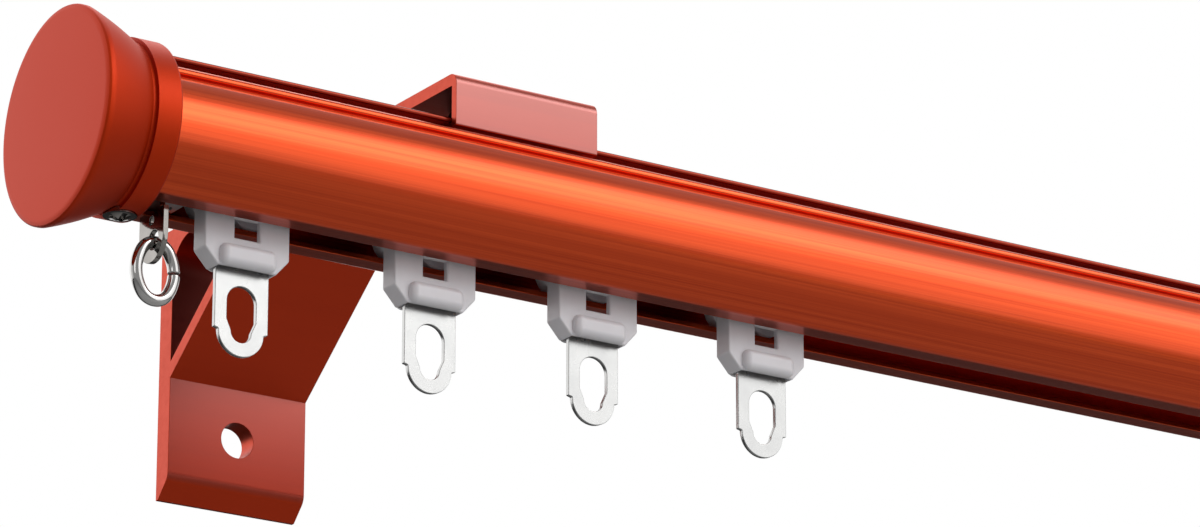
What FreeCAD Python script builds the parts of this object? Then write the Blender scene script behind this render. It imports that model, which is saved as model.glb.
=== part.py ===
import FreeCAD, Part
import math
import os
import re

import Sketcher

# A wall-mounted curtain track: an extruded aluminium rail with a round belly and a slot below, two
# extruded wall brackets that hook and clamp the rail's top flange, a flared finial with an end stop
# at each end, and wheeled runners with steel eye tabs. X runs along the rail, +Z is up, the wall is
# the plane Y = 0 and the rail stands off towards -Y. The origin is the middle of the two wall
# screws. Everything is in millimetres.

SIZES = [
    # Layout of the whole track
    ("rail_length", 467.5),
    ("bracket_inset", 74.75),
    ("rail_standoff", 100.4),
    ("rail_rise", 19.0),
    # Rail section, measured from the rail's axis
    ("belly_radius", 14.0),
    ("belly_drop", 2.0),
    ("belly_top", 6.2),
    ("base_drop", 13.6),
    ("base_half", 7.2),
    ("corner_rise", 0.55),
    ("corner_radius", 1.6),
    ("slot_width", 7.5),
    ("lip_thick", 1.05),
    ("skin", 1.2),
    ("web_level", 1.5),
    ("flange_half", 5.5),
    ("flange_level", 12.9),
    ("flange_thick", 0.95),
    ("neck_half", 3.4),
    ("shoulder_level", 9.8),
    ("bead_reach", 9.0),
    ("bead_radius", 1.1),
    ("bead_under", 0.5),
    ("groove_half", 7.9),
    ("groove_level", 7.0),
    # Wall bracket, an extrusion cut to width
    ("bracket_width", 30.0),
    ("plate_thick", 4.5),
    ("plate_drop", 13.4),
    ("plate_chamfer", 3.7),
    ("toe_tuck", 1.2),
    ("arm_thick", 2.4),
    ("arm_gap", 5.85),
    ("brace_foot", 10.1),
    ("brace_reach", 40.2),
    ("brace_thick", 2.6),
    ("hollow_radius", 7.0),
    ("hood_thick", 1.55),
    ("hood_gap", 0.15),
    ("hood_fold", 2.2),
    ("hook_thick", 0.95),
    ("hook_bite", 1.1),
    ("hook_gap", 0.1),
    ("hood_edge", 0.4),
    ("wall_hole_radius", 3.5),
    # Clamp plate and its screw
    ("clamp_width", 16.0),
    ("clamp_thick", 1.5),
    ("clamp_foot", 4.0),
    ("clamp_slack", 0.2),
    ("clamp_bend", 1.2),
    ("clamp_screw_y", 1.6),
    ("m4_radius", 1.95),
    ("m4_clearance", 0.25),
    ("thread_fit", 0.05),
    ("clamp_tip_gap", 0.6),
    ("pan_radius", 3.5),
    ("pan_height", 2.2),
    ("head_rim", 0.7),
    ("recess_width", 1.0),
    ("recess_length", 4.2),
    ("recess_depth", 1.3),
    # Finial, a turned flared cap
    ("finial_length", 16.25),
    ("cap_drop", 0.4),
    ("face_radius", 19.5),
    ("rim_width", 1.0),
    ("rim_round", 0.45),
    ("face_bevel", 0.7),
    ("face_bevel_drop", 0.25),
    ("neck_radius", 15.2),
    ("neck_width", 0.7),
    ("flare_radius", 60.0),
    ("collar_radius", 15.9),
    ("collar_length", 4.8),
    ("collar_round", 0.6),
    ("seat_level", 14.9),
    ("seat_radius", 3.1),
    ("finial_screw_x", 3.3),
    ("finial_screw_length", 9.4),
    ("dome_radius", 2.95),
    ("dome_height", 2.4),
    # End stop: block, tag, pin, grub screw and ring
    ("block_half", 5.5),
    ("block_tongue", 7.2),
    ("block_reach", 8.6),
    ("block_fit", 0.1),
    ("tag_centre", 3.4),
    ("tag_thick", 1.0),
    ("tag_fit", 0.05),
    ("tag_neck_half", 3.0),
    ("tag_half", 4.3),
    ("tag_top", 1.0),
    ("tag_shoulder", 14.1),
    ("tag_straight", 19.2),
    ("eye_level", 19.6),
    ("eye_y", 0.8),
    ("eye_radius", 1.8),
    ("small_eye_level", 15.9),
    ("small_eye_radius", 0.85),
    ("pin_y", 1.5),
    ("pin_level", 4.0),
    ("pin_radius", 0.95),
    ("pin_length", 7.6),
    ("grub_x", 6.2),
    ("grub_y", 1.9),
    ("grub_radius", 1.5),
    ("grub_recess", 0.5),
    ("grub_socket", 0.75),
    ("ring_wire", 1.1),
    ("ring_half", 3.65),
    ("ring_height", 10.4),
    ("ring_end_radius", 3.0),
    ("ring_rest", 0.3),
    ("ring_split", 0.35),
    # Runner: carriage, axles, wheels, hinge pin and eye tab
    ("runner_half", 8.4),
    ("spine_half", 2.1),
    ("wheel_radius", 3.9),
    ("wheel_lift", 0.15),
    ("wheel_inner", 4.0),
    ("wheel_outer", 6.8),
    ("wheel_edge", 0.25),
    ("wheel_dish", 0.5),
    ("hub_radius", 1.9),
    ("hub_gap", 0.15),
    ("axle_spacing", 8.4),
    ("axle_radius", 0.8),
    ("axle_fit", 0.05),
    ("axle_hold", 0.02),
    ("axle_head_radius", 1.4),
    ("axle_head", 0.4),
    ("spine_cap", 3.0),
    ("carriage_drop", 8.4),
    ("bevel_rise", 2.9),
    ("bevel_run", 2.6),
    ("window_half", 2.5),
    ("window_top", 0.7),
    ("window_bottom", 3.3),
    ("bar_half", 5.5),
    ("bar_depth", 3.6),
    ("bar_top", 4.4),
    ("bar_bottom", 8.4),
    ("bar_round", 1.4),
    ("pin_overlap", 1.0),
    ("pin_end_gap", 0.05),
    ("pocket_half", 1.75),
    ("pocket_top", 4.6),
    ("hinge_drop", 6.3),
    ("hinge_radius", 0.75),
    ("knuckle_radius", 1.5),
    ("tab_half", 5.3),
    ("tab_thick", 0.9),
    ("tab_shoulder", 12.8),
    ("tab_step", 0.8),
    ("tab_length", 17.5),
    ("tab_eye_half", 2.9),
    ("tab_eye_top", 4.8),
    ("tab_eye_straight", 11.0),
    ("tab_eye_bottom", 15.0),
    ("tab_eye_tip", 2.0),
]

# Where the runners stand, measured from the left end of the rail
RUNNER_PLACES = [20.75, 58.95, 93.35, 130.25]

doc = FreeCAD.newDocument("curtain_track")
sheet = doc.addObject("Spreadsheet::Sheet", "Size")
for row, (alias, value) in enumerate(SIZES, start=1):
    sheet.set(f"A{row}", alias)
    sheet.set(f"B{row}", str(value))
    sheet.setAlias(f"B{row}", alias)
for number, place in enumerate(RUNNER_PLACES, start=1):
    row = len(SIZES) + number
    sheet.set(f"A{row}", f"runner_{number}_place")
    sheet.set(f"B{row}", str(place))
    sheet.setAlias(f"B{row}", f"runner_{number}_place")
doc.recompute()

pieces = []
TINY = 1e-4


def sized(text):
    """Turn a plain expression of size names into one that reads the sheet."""
    return re.sub(r"\b([a-z]\w*)\b(?!\()", r"Size.\1", str(text))


def bind(feature, **properties):
    """Bind properties to expressions of the sizes."""
    for name, text in properties.items():
        feature.setExpression(name, sized(text))


def place(feature, x="0", y="0", z="0", half_turn=False):
    """Put a piece at a point of the track's frame; half_turn faces it the other way along X."""
    turn = FreeCAD.Rotation(FreeCAD.Vector(0, 0, 1), 180 if half_turn else 0)
    feature.Placement = FreeCAD.Placement(FreeCAD.Vector(), turn)
    for axis, text in (("x", x), ("y", y), ("z", z)):
        feature.setExpression(f"Placement.Base.{axis}", sized(text))


def new_body(label, **where):
    """Start one piece: a PartDesign body with its own name, kept for export."""
    body = doc.addObject("PartDesign::Body", label)
    place(body, **where)
    pieces.append(body)
    return body


def origin_part(body, role):
    """The body's own origin plane or axis with this role."""
    return next(part for part in body.Origin.OriginFeatures if part.Role == role)


def new_sketch(body, name, plane, offset="0"):
    """A sketch on one of the body's origin planes, moved along its normal by an offset."""
    sketch = body.newObject("Sketcher::SketchObject", name)
    sketch.AttachmentSupport = [(origin_part(body, plane), "")]
    sketch.MapMode = "FlatFace"
    sketch.setExpression("AttachmentOffset.Base.z", sized(offset))
    return sketch


def arc_between(start, end, radius):
    """The shorter arc between two points; a positive radius turns counter-clockwise."""
    chord = end - start
    side = FreeCAD.Vector(-chord.y, chord.x, 0) / chord.Length
    rise = math.sqrt(max(radius**2 - (chord.Length / 2) ** 2, 0.0))
    centre = (start + end) / 2 + side * (rise if radius > 0 else -rise)
    first, last = (start, end) if radius > 0 else (end, start)
    angles = [math.atan2(point.y - centre.y, point.x - centre.x) for point in (first, last)]
    whole = Part.Circle(centre, FreeCAD.Vector(0, 0, 1), abs(radius))
    return Part.ArcOfCircle(whole, angles[0], angles[1])


def hold(sketch, edge, end, kind, text):
    """Hold one coordinate of a point of an edge at an expression."""
    if text == "0":
        axis = -2 if kind == "DistanceX" else -1
        return Sketcher.Constraint("PointOnObject", edge, end, axis), None
    now = float(sketch.evalExpression(sized(text)))
    return Sketcher.Constraint(kind, edge, end, now), text


def add_rules(sketch, rules):
    """Add the constraints and bind each one that has an expression."""
    first = sketch.ConstraintCount
    sketch.addConstraint([rule for rule, _ in rules])
    for number, (_, text) in enumerate(rules, start=first):
        if text is not None:
            sketch.setExpression(f"Constraints[{number}]", sized(text))


def outline(sketch, corners, closed=True):
    """Draw an outline. Each corner is (across, up), or (across, up, bend) where an arc leads on to
    the next corner. A bend is a radius, with "-" first for a clockwise arc, or "half" for half a
    circle, counter-clockwise, between two corners that are level with each other."""
    points = [
        FreeCAD.Vector(*(float(sketch.evalExpression(sized(text))) for text in corner[:2]), 0)
        for corner in corners
    ]
    first = sketch.GeometryCount
    edges = len(corners) if closed else len(corners) - 1
    rules = []
    ends = []
    for number in range(edges):
        corner, edge = corners[number], first + number
        start, end = points[number], points[(number + 1) % len(points)]
        ends.append((1, 2))
        if len(corner) == 2:
            sketch.addGeometry(Part.LineSegment(start, end), False)
        elif corner[2] == "half":
            sketch.addGeometry(arc_between(start, end, (end - start).Length / 2), False)
            rules.append(hold(sketch, edge, 3, "DistanceY", corner[1]))
        else:
            radius = float(sketch.evalExpression(sized(corner[2])))
            sketch.addGeometry(arc_between(start, end, radius), False)
            if radius < 0:
                ends[-1] = (2, 1)
            rules.append((Sketcher.Constraint("Radius", edge, abs(radius)), corner[2].lstrip("-")))
        rules.append(hold(sketch, edge, ends[-1][0], "DistanceX", corner[0]))
        rules.append(hold(sketch, edge, ends[-1][0], "DistanceY", corner[1]))
    if not closed:
        rules.append(hold(sketch, first + edges - 1, ends[-1][1], "DistanceX", corners[-1][0]))
        rules.append(hold(sketch, first + edges - 1, ends[-1][1], "DistanceY", corners[-1][1]))
    for number in range(edges if closed else edges - 1):
        following = (number + 1) % edges
        link = (first + number, ends[number][1], first + following, ends[following][0])
        rules.append((Sketcher.Constraint("Coincident", *link), None))
    add_rules(sketch, rules)


def circle(sketch, across, up, radius):
    """Draw a circle with its centre and radius bound to the sizes."""
    centre = FreeCAD.Vector(*(float(sketch.evalExpression(sized(text))) for text in (across, up)), 0)
    size = float(sketch.evalExpression(sized(radius)))
    edge = sketch.GeometryCount
    sketch.addGeometry(Part.Circle(centre, FreeCAD.Vector(0, 0, 1), size), False)
    rules = [(Sketcher.Constraint("Radius", edge, size), radius)]
    rules.append(hold(sketch, edge, 3, "DistanceX", across))
    rules.append(hold(sketch, edge, 3, "DistanceY", up))
    add_rules(sketch, rules)


def rectangle(left, bottom, right, top):
    """The four corners of a rectangle, as an outline."""
    return [(left, bottom), (right, bottom), (right, top), (left, top)]


def pad(body, sketch, length, middle=True):
    """Extrude a sketch, both ways from its plane or along its normal only."""
    feature = body.newObject("PartDesign::Pad", sketch.Name + "_pad")
    feature.Profile = sketch
    feature.Midplane = middle
    bind(feature, Length=length)
    doc.recompute()
    return feature


def cut(body, sketch, depth=None, reverse=False, middle=False):
    """Cut a sketch out of the body, to a depth or right through, and see that it removed something."""
    before = body.Shape.Volume
    feature = body.newObject("PartDesign::Pocket", sketch.Name + "_cut")
    feature.Profile = sketch
    feature.Midplane = middle
    feature.Reversed = reverse
    if depth is None:
        feature.Type = "ThroughAll"
    else:
        bind(feature, Length=depth)
    doc.recompute()
    if not body.Shape.Volume < before - 1e-6:
        raise RuntimeError(f"{feature.Name} removed nothing from {body.Label}")
    return feature


def turned(body, sketch, axis):
    """Turn a half section round one of the body's origin axes."""
    feature = body.newObject("PartDesign::Revolution", sketch.Name + "_turn")
    feature.Profile = sketch
    feature.ReferenceAxis = (origin_part(body, axis), [""])
    feature.Angle = 360
    doc.recompute()
    return feature


def round_edges(body, radius, wanted, name="round"):
    """Round the edges that a test of their two ends picks."""
    tip = body.Tip
    names = []
    for number, edge in enumerate(tip.Shape.Edges, start=1):
        ends = [vertex.Point for vertex in edge.Vertexes]
        if len(ends) == 2 and wanted(*ends):
            names.append(f"Edge{number}")
    feature = body.newObject("PartDesign::Fillet", f"{body.Name}_{name}")
    feature.Base = (tip, names)
    bind(feature, Radius=radius)
    doc.recompute()
    return feature


def value(text):
    """The number that an expression of the sizes has now."""
    return float(sheet.evalExpression(re.sub(r"Size\.", "", sized(text))))


def mirrored(right_side):
    """A whole outline from its right side, listed from the top down; arcs keep their radius."""
    left_side = []
    for number in range(len(right_side) - 1, -1, -1):
        across, up = right_side[number][:2]
        radius = right_side[number - 1][2:] if number else ()
        left_side.append((f"-({across})", up, *radius))
    return list(right_side) + left_side


def belly_at(radius, level):
    """Half the width of a circle on the belly's centre at a level above the rail's axis."""
    return f"sqrt(({radius})^2 - ({level} + belly_drop)^2)"


def make_rail():
    """The extruded rail: round belly, runner channel with a slot below, hollow neck and flange."""
    inner = "belly_radius - skin"
    lip_top = "lip_thick - base_drop"
    corner = "corner_rise - base_drop"
    web_top = "web_level + skin"
    chamber_floor = "belly_top - skin"
    body = new_body("rail", y="-rail_standoff", z="rail_rise")
    sketch = new_sketch(body, "rail_section", "YZ_Plane")
    outline(sketch, mirrored([
        ("flange_half", "flange_level"),
        ("flange_half", "flange_level - flange_thick"),
        ("neck_half", "flange_level - flange_thick"),
        ("neck_half", "shoulder_level"),
        ("bead_reach - bead_radius", "shoulder_level", "-bead_radius"),
        ("bead_reach", "shoulder_level - bead_radius", "-bead_under"),
        ("bead_reach - bead_under", "shoulder_level - bead_radius - bead_under"),
        ("groove_half", "shoulder_level - bead_radius - bead_under"),
        ("groove_half", "groove_level"),
        (belly_at("belly_radius", "belly_top"), "belly_top", "-belly_radius"),
        (belly_at("belly_radius", corner), corner, "-corner_radius"),
        ("base_half", "-base_drop"),
        ("slot_width / 2", "-base_drop"),
        ("slot_width / 2", lip_top),
        (belly_at(inner, lip_top), lip_top, inner),
        (belly_at(inner, "web_level"), "web_level"),
    ]))
    outline(sketch, mirrored([
        ("neck_half - skin", "flange_level - skin"),
        ("neck_half - skin", "shoulder_level - skin"),
        ("groove_half - skin", "shoulder_level - skin"),
        ("groove_half - skin", chamber_floor),
        (belly_at(inner, chamber_floor), chamber_floor, f"-({inner})"),
        (belly_at(inner, web_top), web_top),
    ]))
    pad(body, sketch, "rail_length")


# Levels of the bracket above the wall screws, and the hood's front face
FLANGE_TOP = "rail_rise + flange_level"
ARM_UNDER = f"{FLANGE_TOP} + arm_gap"
ARM_TOP = f"{ARM_UNDER} + arm_thick"
HOOK_TOP = f"{FLANGE_TOP} - flange_thick - hook_gap"
HOOD_INNER = "-rail_standoff - flange_half - hood_gap"
HOOD_FRONT = f"{HOOD_INNER} - hood_thick"


def make_bracket(label, side):
    """One wall bracket: plate, arm, diagonal brace and front hood in one extrusion, with a hole for
    the wall screw and one for the clamp screw."""
    body = new_body(label, x=f"{side} * (rail_length / 2 - bracket_inset)")
    rise = f"({ARM_UNDER} - brace_foot)"
    run = "(brace_reach - plate_thick)"
    shift = f"brace_thick * sqrt(({rise} / {run})^2 + 1)"
    inner_foot = f"brace_foot + {shift}"
    inner_reach = f"-plate_thick - ({ARM_UNDER} - ({inner_foot})) * {run} / {rise}"
    sketch = new_sketch(body, f"{label}_section", "YZ_Plane")
    outline(sketch, [
        ("0", "-plate_drop"),
        ("0", ARM_TOP),
        (f"{HOOD_FRONT} + hood_fold", ARM_TOP, "hood_fold"),
        (HOOD_FRONT, f"{ARM_TOP} - hood_fold"),
        (HOOD_FRONT, f"{HOOK_TOP} - hook_thick + hood_edge", "hood_edge"),
        (f"{HOOD_FRONT} + hood_edge", f"{HOOK_TOP} - hook_thick"),
        (f"{HOOD_INNER} + hood_gap + hook_bite", f"{HOOK_TOP} - hook_thick"),
        (f"{HOOD_INNER} + hood_gap + hook_bite", HOOK_TOP),
        (HOOD_INNER, HOOK_TOP),
        (HOOD_INNER, ARM_UNDER),
        ("-brace_reach", ARM_UNDER),
        ("-plate_thick", "brace_foot"),
        ("-plate_thick", "plate_chamfer - plate_drop + toe_tuck", "-toe_tuck * (1 + sqrt(2))"),
        ("-plate_thick + toe_tuck / sqrt(2)", "plate_chamfer - plate_drop - toe_tuck / sqrt(2)"),
        ("plate_chamfer - plate_thick", "-plate_drop"),
    ])
    outline(sketch, [
        ("-plate_thick", inner_foot),
        ("-plate_thick", f"{ARM_UNDER} - hollow_radius", "hollow_radius"),
        ("-plate_thick - hollow_radius", ARM_UNDER),
        (inner_reach, ARM_UNDER),
    ])
    pad(body, sketch, "bracket_width")
    wall_hole = new_sketch(body, f"{label}_wall_hole", "XZ_Plane")
    circle(wall_hole, "0", "0", "wall_hole_radius")
    cut(body, wall_hole, "plate_thick * 2", middle=True)
    clamp_hole = new_sketch(body, f"{label}_clamp_hole", "XY_Plane", ARM_TOP)
    circle(clamp_hole, "0", "clamp_screw_y - rail_standoff", "m4_radius + m4_clearance")
    cut(body, clamp_hole)
    front, half = value(HOOD_FRONT), value("bracket_width / 2")

    def hood_side(a, b):
        upright = abs(a.z - b.z) > value("hood_fold")
        return upright and max(a.y, b.y) < front + TINY and abs(abs(a.x) - half) < TINY

    round_edges(body, "hood_edge", hood_side, "side_round")


def make_clamp(label, side):
    """The folded steel clamp plate between the arm and the flange, hooked under the rear edge."""
    body = new_body(f"{label}_clamp_plate", x=f"{side} * (rail_length / 2 - bracket_inset)",
                    y="-rail_standoff", z="rail_rise")
    rear = "flange_half + clamp_slack + clamp_thick"
    arm_under = "flange_level + arm_gap"
    hook_top = "flange_level - flange_thick - thread_fit"
    sketch = new_sketch(body, f"{label}_clamp_section", "YZ_Plane")
    outline(sketch, [
        ("-clamp_foot", "flange_level"),
        ("clamp_thick - clamp_foot", "flange_level"),
        ("clamp_thick - clamp_foot", f"{arm_under} - clamp_thick"),
        (f"{rear} - clamp_thick", f"{arm_under} - clamp_thick"),
        (f"{rear} - clamp_thick", hook_top),
        ("neck_half + clamp_slack + hook_gap", hook_top),
        ("neck_half + clamp_slack + hook_gap", f"{hook_top} - clamp_thick"),
        (f"{rear} - clamp_bend", f"{hook_top} - clamp_thick", "clamp_bend"),
        (rear, f"{hook_top} - clamp_thick + clamp_bend"),
        (rear, f"{arm_under} - clamp_bend", "clamp_bend"),
        (f"{rear} - clamp_bend", arm_under),
        ("clamp_bend - clamp_foot", arm_under, "clamp_bend"),
        ("-clamp_foot", f"{arm_under} - clamp_bend"),
    ])
    pad(body, sketch, "clamp_width")
    hole = new_sketch(body, f"{label}_clamp_thread", "XY_Plane", arm_under)
    circle(hole, "0", "clamp_screw_y", "m4_radius + thread_fit")
    cut(body, hole, "clamp_thick * 2")
    make_screw(f"{label}_clamp_screw", "pan_radius", "pan_height", "arm_thick + arm_gap - clamp_tip_gap",
               x=f"{side} * (rail_length / 2 - bracket_inset)", y="clamp_screw_y - rail_standoff", z=ARM_TOP)


def make_screw(label, head_radius, head_height, length, upward=True, **where):
    """A cross-recessed screw with a domed head; its seat is the piece's own z = 0."""
    body = new_body(label, **where)
    way = "1" if upward else "-1"
    sketch = new_sketch(body, f"{label}_section", "XZ_Plane")
    outline(sketch, [
        ("0", f"-{way} * ({length})"),
        ("m4_radius - recess_width / 2", f"-{way} * ({length})"),
        ("m4_radius", f"-{way} * ({length} - recess_width / 2)"),
        ("m4_radius", "0"),
        (head_radius, "0"),
        (head_radius, f"{way} * head_rim", head_radius if upward else f"-{head_radius}"),
        ("recess_width / 2", f"{way} * {head_height}"),
        ("0", f"{way} * {head_height}"),
    ])
    turned(body, sketch, "Z_Axis")
    cross = new_sketch(body, f"{label}_recess", "XY_Plane", f"{way} * ({head_height} - recess_depth)")
    half, wide = "recess_length / 2", "recess_width / 2"
    outline(cross, [
        (wide, wide), (half, wide), (half, f"-{wide}"), (wide, f"-{wide}"),
        (wide, f"-{half}"), (f"-{wide}", f"-{half}"), (f"-{wide}", f"-{wide}"), (f"-{half}", f"-{wide}"),
        (f"-{half}", wide), (f"-{wide}", wide), (f"-{wide}", half), (wide, half),
    ])
    cut(body, cross, "recess_depth * 2", reverse=upward)


def end_place(side):
    """Where an end piece stands: at the rail's end on its axis, facing into the rail."""
    return dict(x=f"{side} * rail_length / 2", y="-rail_standoff", z="rail_rise", half_turn=side > 0)


def make_finial(label, side):
    """The turned finial: collar against the rail's end, neck, flared cone, rim and bevelled face.
    A socket takes the tongue of the end stop block, and a screw from below holds it."""
    where = end_place(side)
    where["z"] = "rail_rise - cap_drop"
    body = new_body(f"{label}_finial", **where)
    sketch = new_sketch(body, f"{label}_finial_section", "XZ_Plane")
    outline(sketch, [
        ("0", "0"),
        ("0", "collar_radius - collar_round", "collar_round"),
        ("-collar_round", "collar_radius"),
        ("-collar_length", "collar_radius"),
        ("-collar_length", "neck_radius"),
        ("-collar_length - neck_width", "neck_radius", "-flare_radius"),
        ("rim_width - finial_length", "face_radius"),
        ("rim_round - finial_length", "face_radius", "rim_round"),
        ("-finial_length", "face_radius - rim_round"),
        ("-finial_length - face_bevel_drop", "face_radius - rim_round - face_bevel"),
        ("-finial_length - face_bevel_drop", "0"),
    ])
    turned(body, sketch, "X_Axis")
    socket = new_sketch(body, f"{label}_finial_socket", "YZ_Plane")
    outline(socket, rectangle("-block_half - block_fit", "lip_thick - base_drop + cap_drop",
                              "block_half + block_fit", "web_level + cap_drop"))
    cut(body, socket, "block_tongue + block_fit")
    bore = new_sketch(body, f"{label}_finial_bore", "XY_Plane")
    circle(bore, "-finial_screw_x", "0", "m4_radius + m4_clearance")
    cut(body, bore)
    seat = new_sketch(body, f"{label}_finial_seat", "XY_Plane", "-seat_level")
    circle(seat, "-finial_screw_x", "0", "seat_radius")
    cut(body, seat)
    turn = "-" if side < 0 else "+"
    make_screw(f"{label}_finial_screw", "dome_radius", "dome_height", "finial_screw_length",
               upward=False, x=f"{side} * rail_length / 2 {turn} finial_screw_x",
               y="-rail_standoff", z="rail_rise - cap_drop - seat_level")


def make_end_stop(label, side):
    """The end stop: a steel block in the channel with a tongue into the finial, a tag pinned in it,
    a grub screw that jams it under the web, and a split ring through the tag's eye."""
    floor, roof = "lip_thick - base_drop + block_fit", "web_level - block_fit"
    body = new_body(f"{label}_stop_block", **end_place(side))
    sketch = new_sketch(body, f"{label}_block_section", "YZ_Plane", "-block_tongue")
    outline(sketch, rectangle("-block_half", floor, "block_half", roof))
    pad(body, sketch, "block_tongue + block_reach", middle=False)
    slot = new_sketch(body, f"{label}_block_slot", "YZ_Plane", "tag_centre + tag_thick / 2 + tag_fit")
    outline(slot, rectangle("-tag_neck_half - tag_fit", f"{floor} - block_fit",
                            "tag_neck_half + tag_fit", "tag_fit - tag_top"))
    cut(body, slot, "tag_thick + tag_fit * 2")
    grub_hole = new_sketch(body, f"{label}_grub_hole", "XY_Plane", f"{roof} + block_fit")
    circle(grub_hole, "grub_x", "grub_y", "grub_radius + thread_fit")
    cut(body, grub_hole)
    screw_hole = new_sketch(body, f"{label}_tongue_hole", "XY_Plane", "-pin_level")
    circle(screw_hole, "-finial_screw_x", "0", "m4_radius + thread_fit")
    cut(body, screw_hole)
    pin_hole = new_sketch(body, f"{label}_pin_hole", "YZ_Plane", "block_reach")
    circle(pin_hole, "-pin_y", "-pin_level", "pin_radius + thread_fit")
    cut(body, pin_hole, "pin_length + thread_fit")

    pin = new_body(f"{label}_stop_pin", **end_place(side))
    pin_section = new_sketch(pin, f"{label}_pin_section", "YZ_Plane", "block_reach - pin_length")
    circle(pin_section, "-pin_y", "-pin_level", "pin_radius")
    pad(pin, pin_section, "pin_length", middle=False)

    grub = new_body(f"{label}_stop_screw", **end_place(side))
    grub_foot = f"{floor} + grub_recess"
    grub_section = new_sketch(grub, f"{label}_grub_section", "XY_Plane", grub_foot)
    circle(grub_section, "grub_x", "grub_y", "grub_radius")
    pad(grub, grub_section, f"web_level - ({grub_foot})", middle=False)
    socket = new_sketch(grub, f"{label}_grub_socket", "XY_Plane", f"{grub_foot} + grub_radius")
    wide, tall = "grub_socket", "grub_socket * sqrt(3) / 2"
    outline(socket, [
        (f"grub_x + {wide}", "grub_y"), (f"grub_x + {wide} / 2", f"grub_y + {tall}"),
        (f"grub_x - {wide} / 2", f"grub_y + {tall}"), (f"grub_x - {wide}", "grub_y"),
        (f"grub_x - {wide} / 2", f"grub_y - {tall}"), (f"grub_x + {wide} / 2", f"grub_y - {tall}"),
    ])
    cut(grub, socket)

    tag = new_body(f"{label}_stop_tag", **end_place(side))
    tag_section = new_sketch(tag, f"{label}_tag_section", "YZ_Plane", "tag_centre")
    outline(tag_section, [
        ("-tag_neck_half", "-tag_top"),
        ("-tag_neck_half", "-tag_shoulder"),
        ("-tag_half", "-tag_shoulder"),
        ("-tag_half", "-tag_straight", "half"),
        ("tag_half", "-tag_straight"),
        ("tag_half", "-tag_shoulder"),
        ("tag_neck_half", "-tag_shoulder"),
        ("tag_neck_half", "-tag_top"),
    ])
    circle(tag_section, "-eye_y", "-eye_level", "eye_radius")
    circle(tag_section, "0", "-small_eye_level", "small_eye_radius")
    circle(tag_section, "-pin_y", "-pin_level", "pin_radius + thread_fit")
    pad(tag, tag_section, "tag_thick")

    ring = new_body(f"{label}_stop_ring", **end_place(side))
    middle = "(ring_rest + ring_wire - eye_level - eye_radius - ring_height / 2)"
    rise = "(ring_height / 2 - ring_end_radius)"
    side_radius = f"((ring_half^2 + {rise}^2 - ring_end_radius^2) / (ring_half - ring_end_radius) / 2)"
    share = f"(ring_end_radius / ({side_radius} - ring_end_radius))"
    turn_x = f"{share} * ({side_radius} - ring_half)"
    turn_z = f"{rise} * (1 + {share})"
    end_x = f"tag_centre + ring_half - {side_radius} + sqrt({side_radius}^2 - (ring_split / 2)^2)"
    path = new_sketch(ring, f"{label}_ring_path", "XZ_Plane", "eye_y")
    outline(path, [
        (end_x, f"{middle} + ring_split / 2", side_radius),
        (f"tag_centre + {turn_x}", f"{middle} + {turn_z}", "ring_end_radius"),
        (f"tag_centre - {turn_x}", f"{middle} + {turn_z}", side_radius),
        (f"tag_centre - {turn_x}", f"{middle} - {turn_z}", "ring_end_radius"),
        (f"tag_centre + {turn_x}", f"{middle} - {turn_z}", side_radius),
        (end_x, f"{middle} - ring_split / 2"),
    ], closed=False)
    wire = new_sketch(ring, f"{label}_ring_wire", "XY_Plane", f"{middle} + ring_split / 2")
    circle(wire, end_x, "-eye_y", "ring_wire")
    pipe = ring.newObject("PartDesign::AdditivePipe", f"{label}_ring_pipe")
    pipe.Profile = wire
    pipe.Spine = path
    doc.recompute()


# Levels of the runner below the rail's axis
AXLE_LEVEL = "lip_thick - base_drop + wheel_lift + wheel_radius"
HINGE_LEVEL = "-base_drop - hinge_drop"


def make_carriage(label, at):
    """The moulded carriage: a spine through the slot, a window, a rounded bar front and back, and a
    pocket below with the hinge of the eye tab."""
    body = new_body(f"{label}_carriage", x=at, y="-rail_standoff", z="rail_rise")
    bottom = "-base_drop - carriage_drop"
    sketch = new_sketch(body, f"{label}_carriage_side", "XZ_Plane")
    outline(sketch, [
        ("-runner_half", f"{AXLE_LEVEL} + spine_cap"),
        ("-runner_half", f"{bottom} + bevel_rise"),
        ("bevel_run - runner_half", bottom),
        ("runner_half - bevel_run", bottom),
        ("runner_half", f"{bottom} + bevel_rise"),
        ("runner_half", f"{AXLE_LEVEL} + spine_cap"),
    ])
    for end in ("-", ""):
        circle(sketch, f"{end}axle_spacing / 2", AXLE_LEVEL, "axle_radius + axle_hold")
    pad(body, sketch, "spine_half * 2")
    bar = new_sketch(body, f"{label}_bar", "XZ_Plane")
    outline(bar, rectangle("-bar_half", "-base_drop - bar_bottom", "bar_half", "-base_drop - bar_top"))
    pad(body, bar, "bar_depth * 2")
    reach = value("bar_depth")

    def bar_edge(a, b):
        return abs(abs(a.y) - reach) < TINY and abs(a.y - b.y) < TINY

    round_edges(body, "bar_round", bar_edge, "bar_round")
    window = new_sketch(body, f"{label}_window", "XZ_Plane")
    outline(window, rectangle("-window_half", "-base_drop - window_bottom",
                              "window_half", "window_top - base_drop"))
    cut(body, window, "bar_depth * 3", middle=True)
    pocket = new_sketch(body, f"{label}_pocket", "YZ_Plane")
    outline(pocket, rectangle("-pocket_half", f"{bottom} - skin", "pocket_half",
                              "-base_drop - pocket_top"))
    cut(body, pocket, "bar_half * 2", middle=True)
    hinge = new_sketch(body, f"{label}_hinge", "YZ_Plane")
    circle(hinge, "0", HINGE_LEVEL, "hinge_radius + axle_hold")
    cut(body, hinge, "(bar_half + pin_overlap + pin_end_gap) * 2", middle=True)


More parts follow.
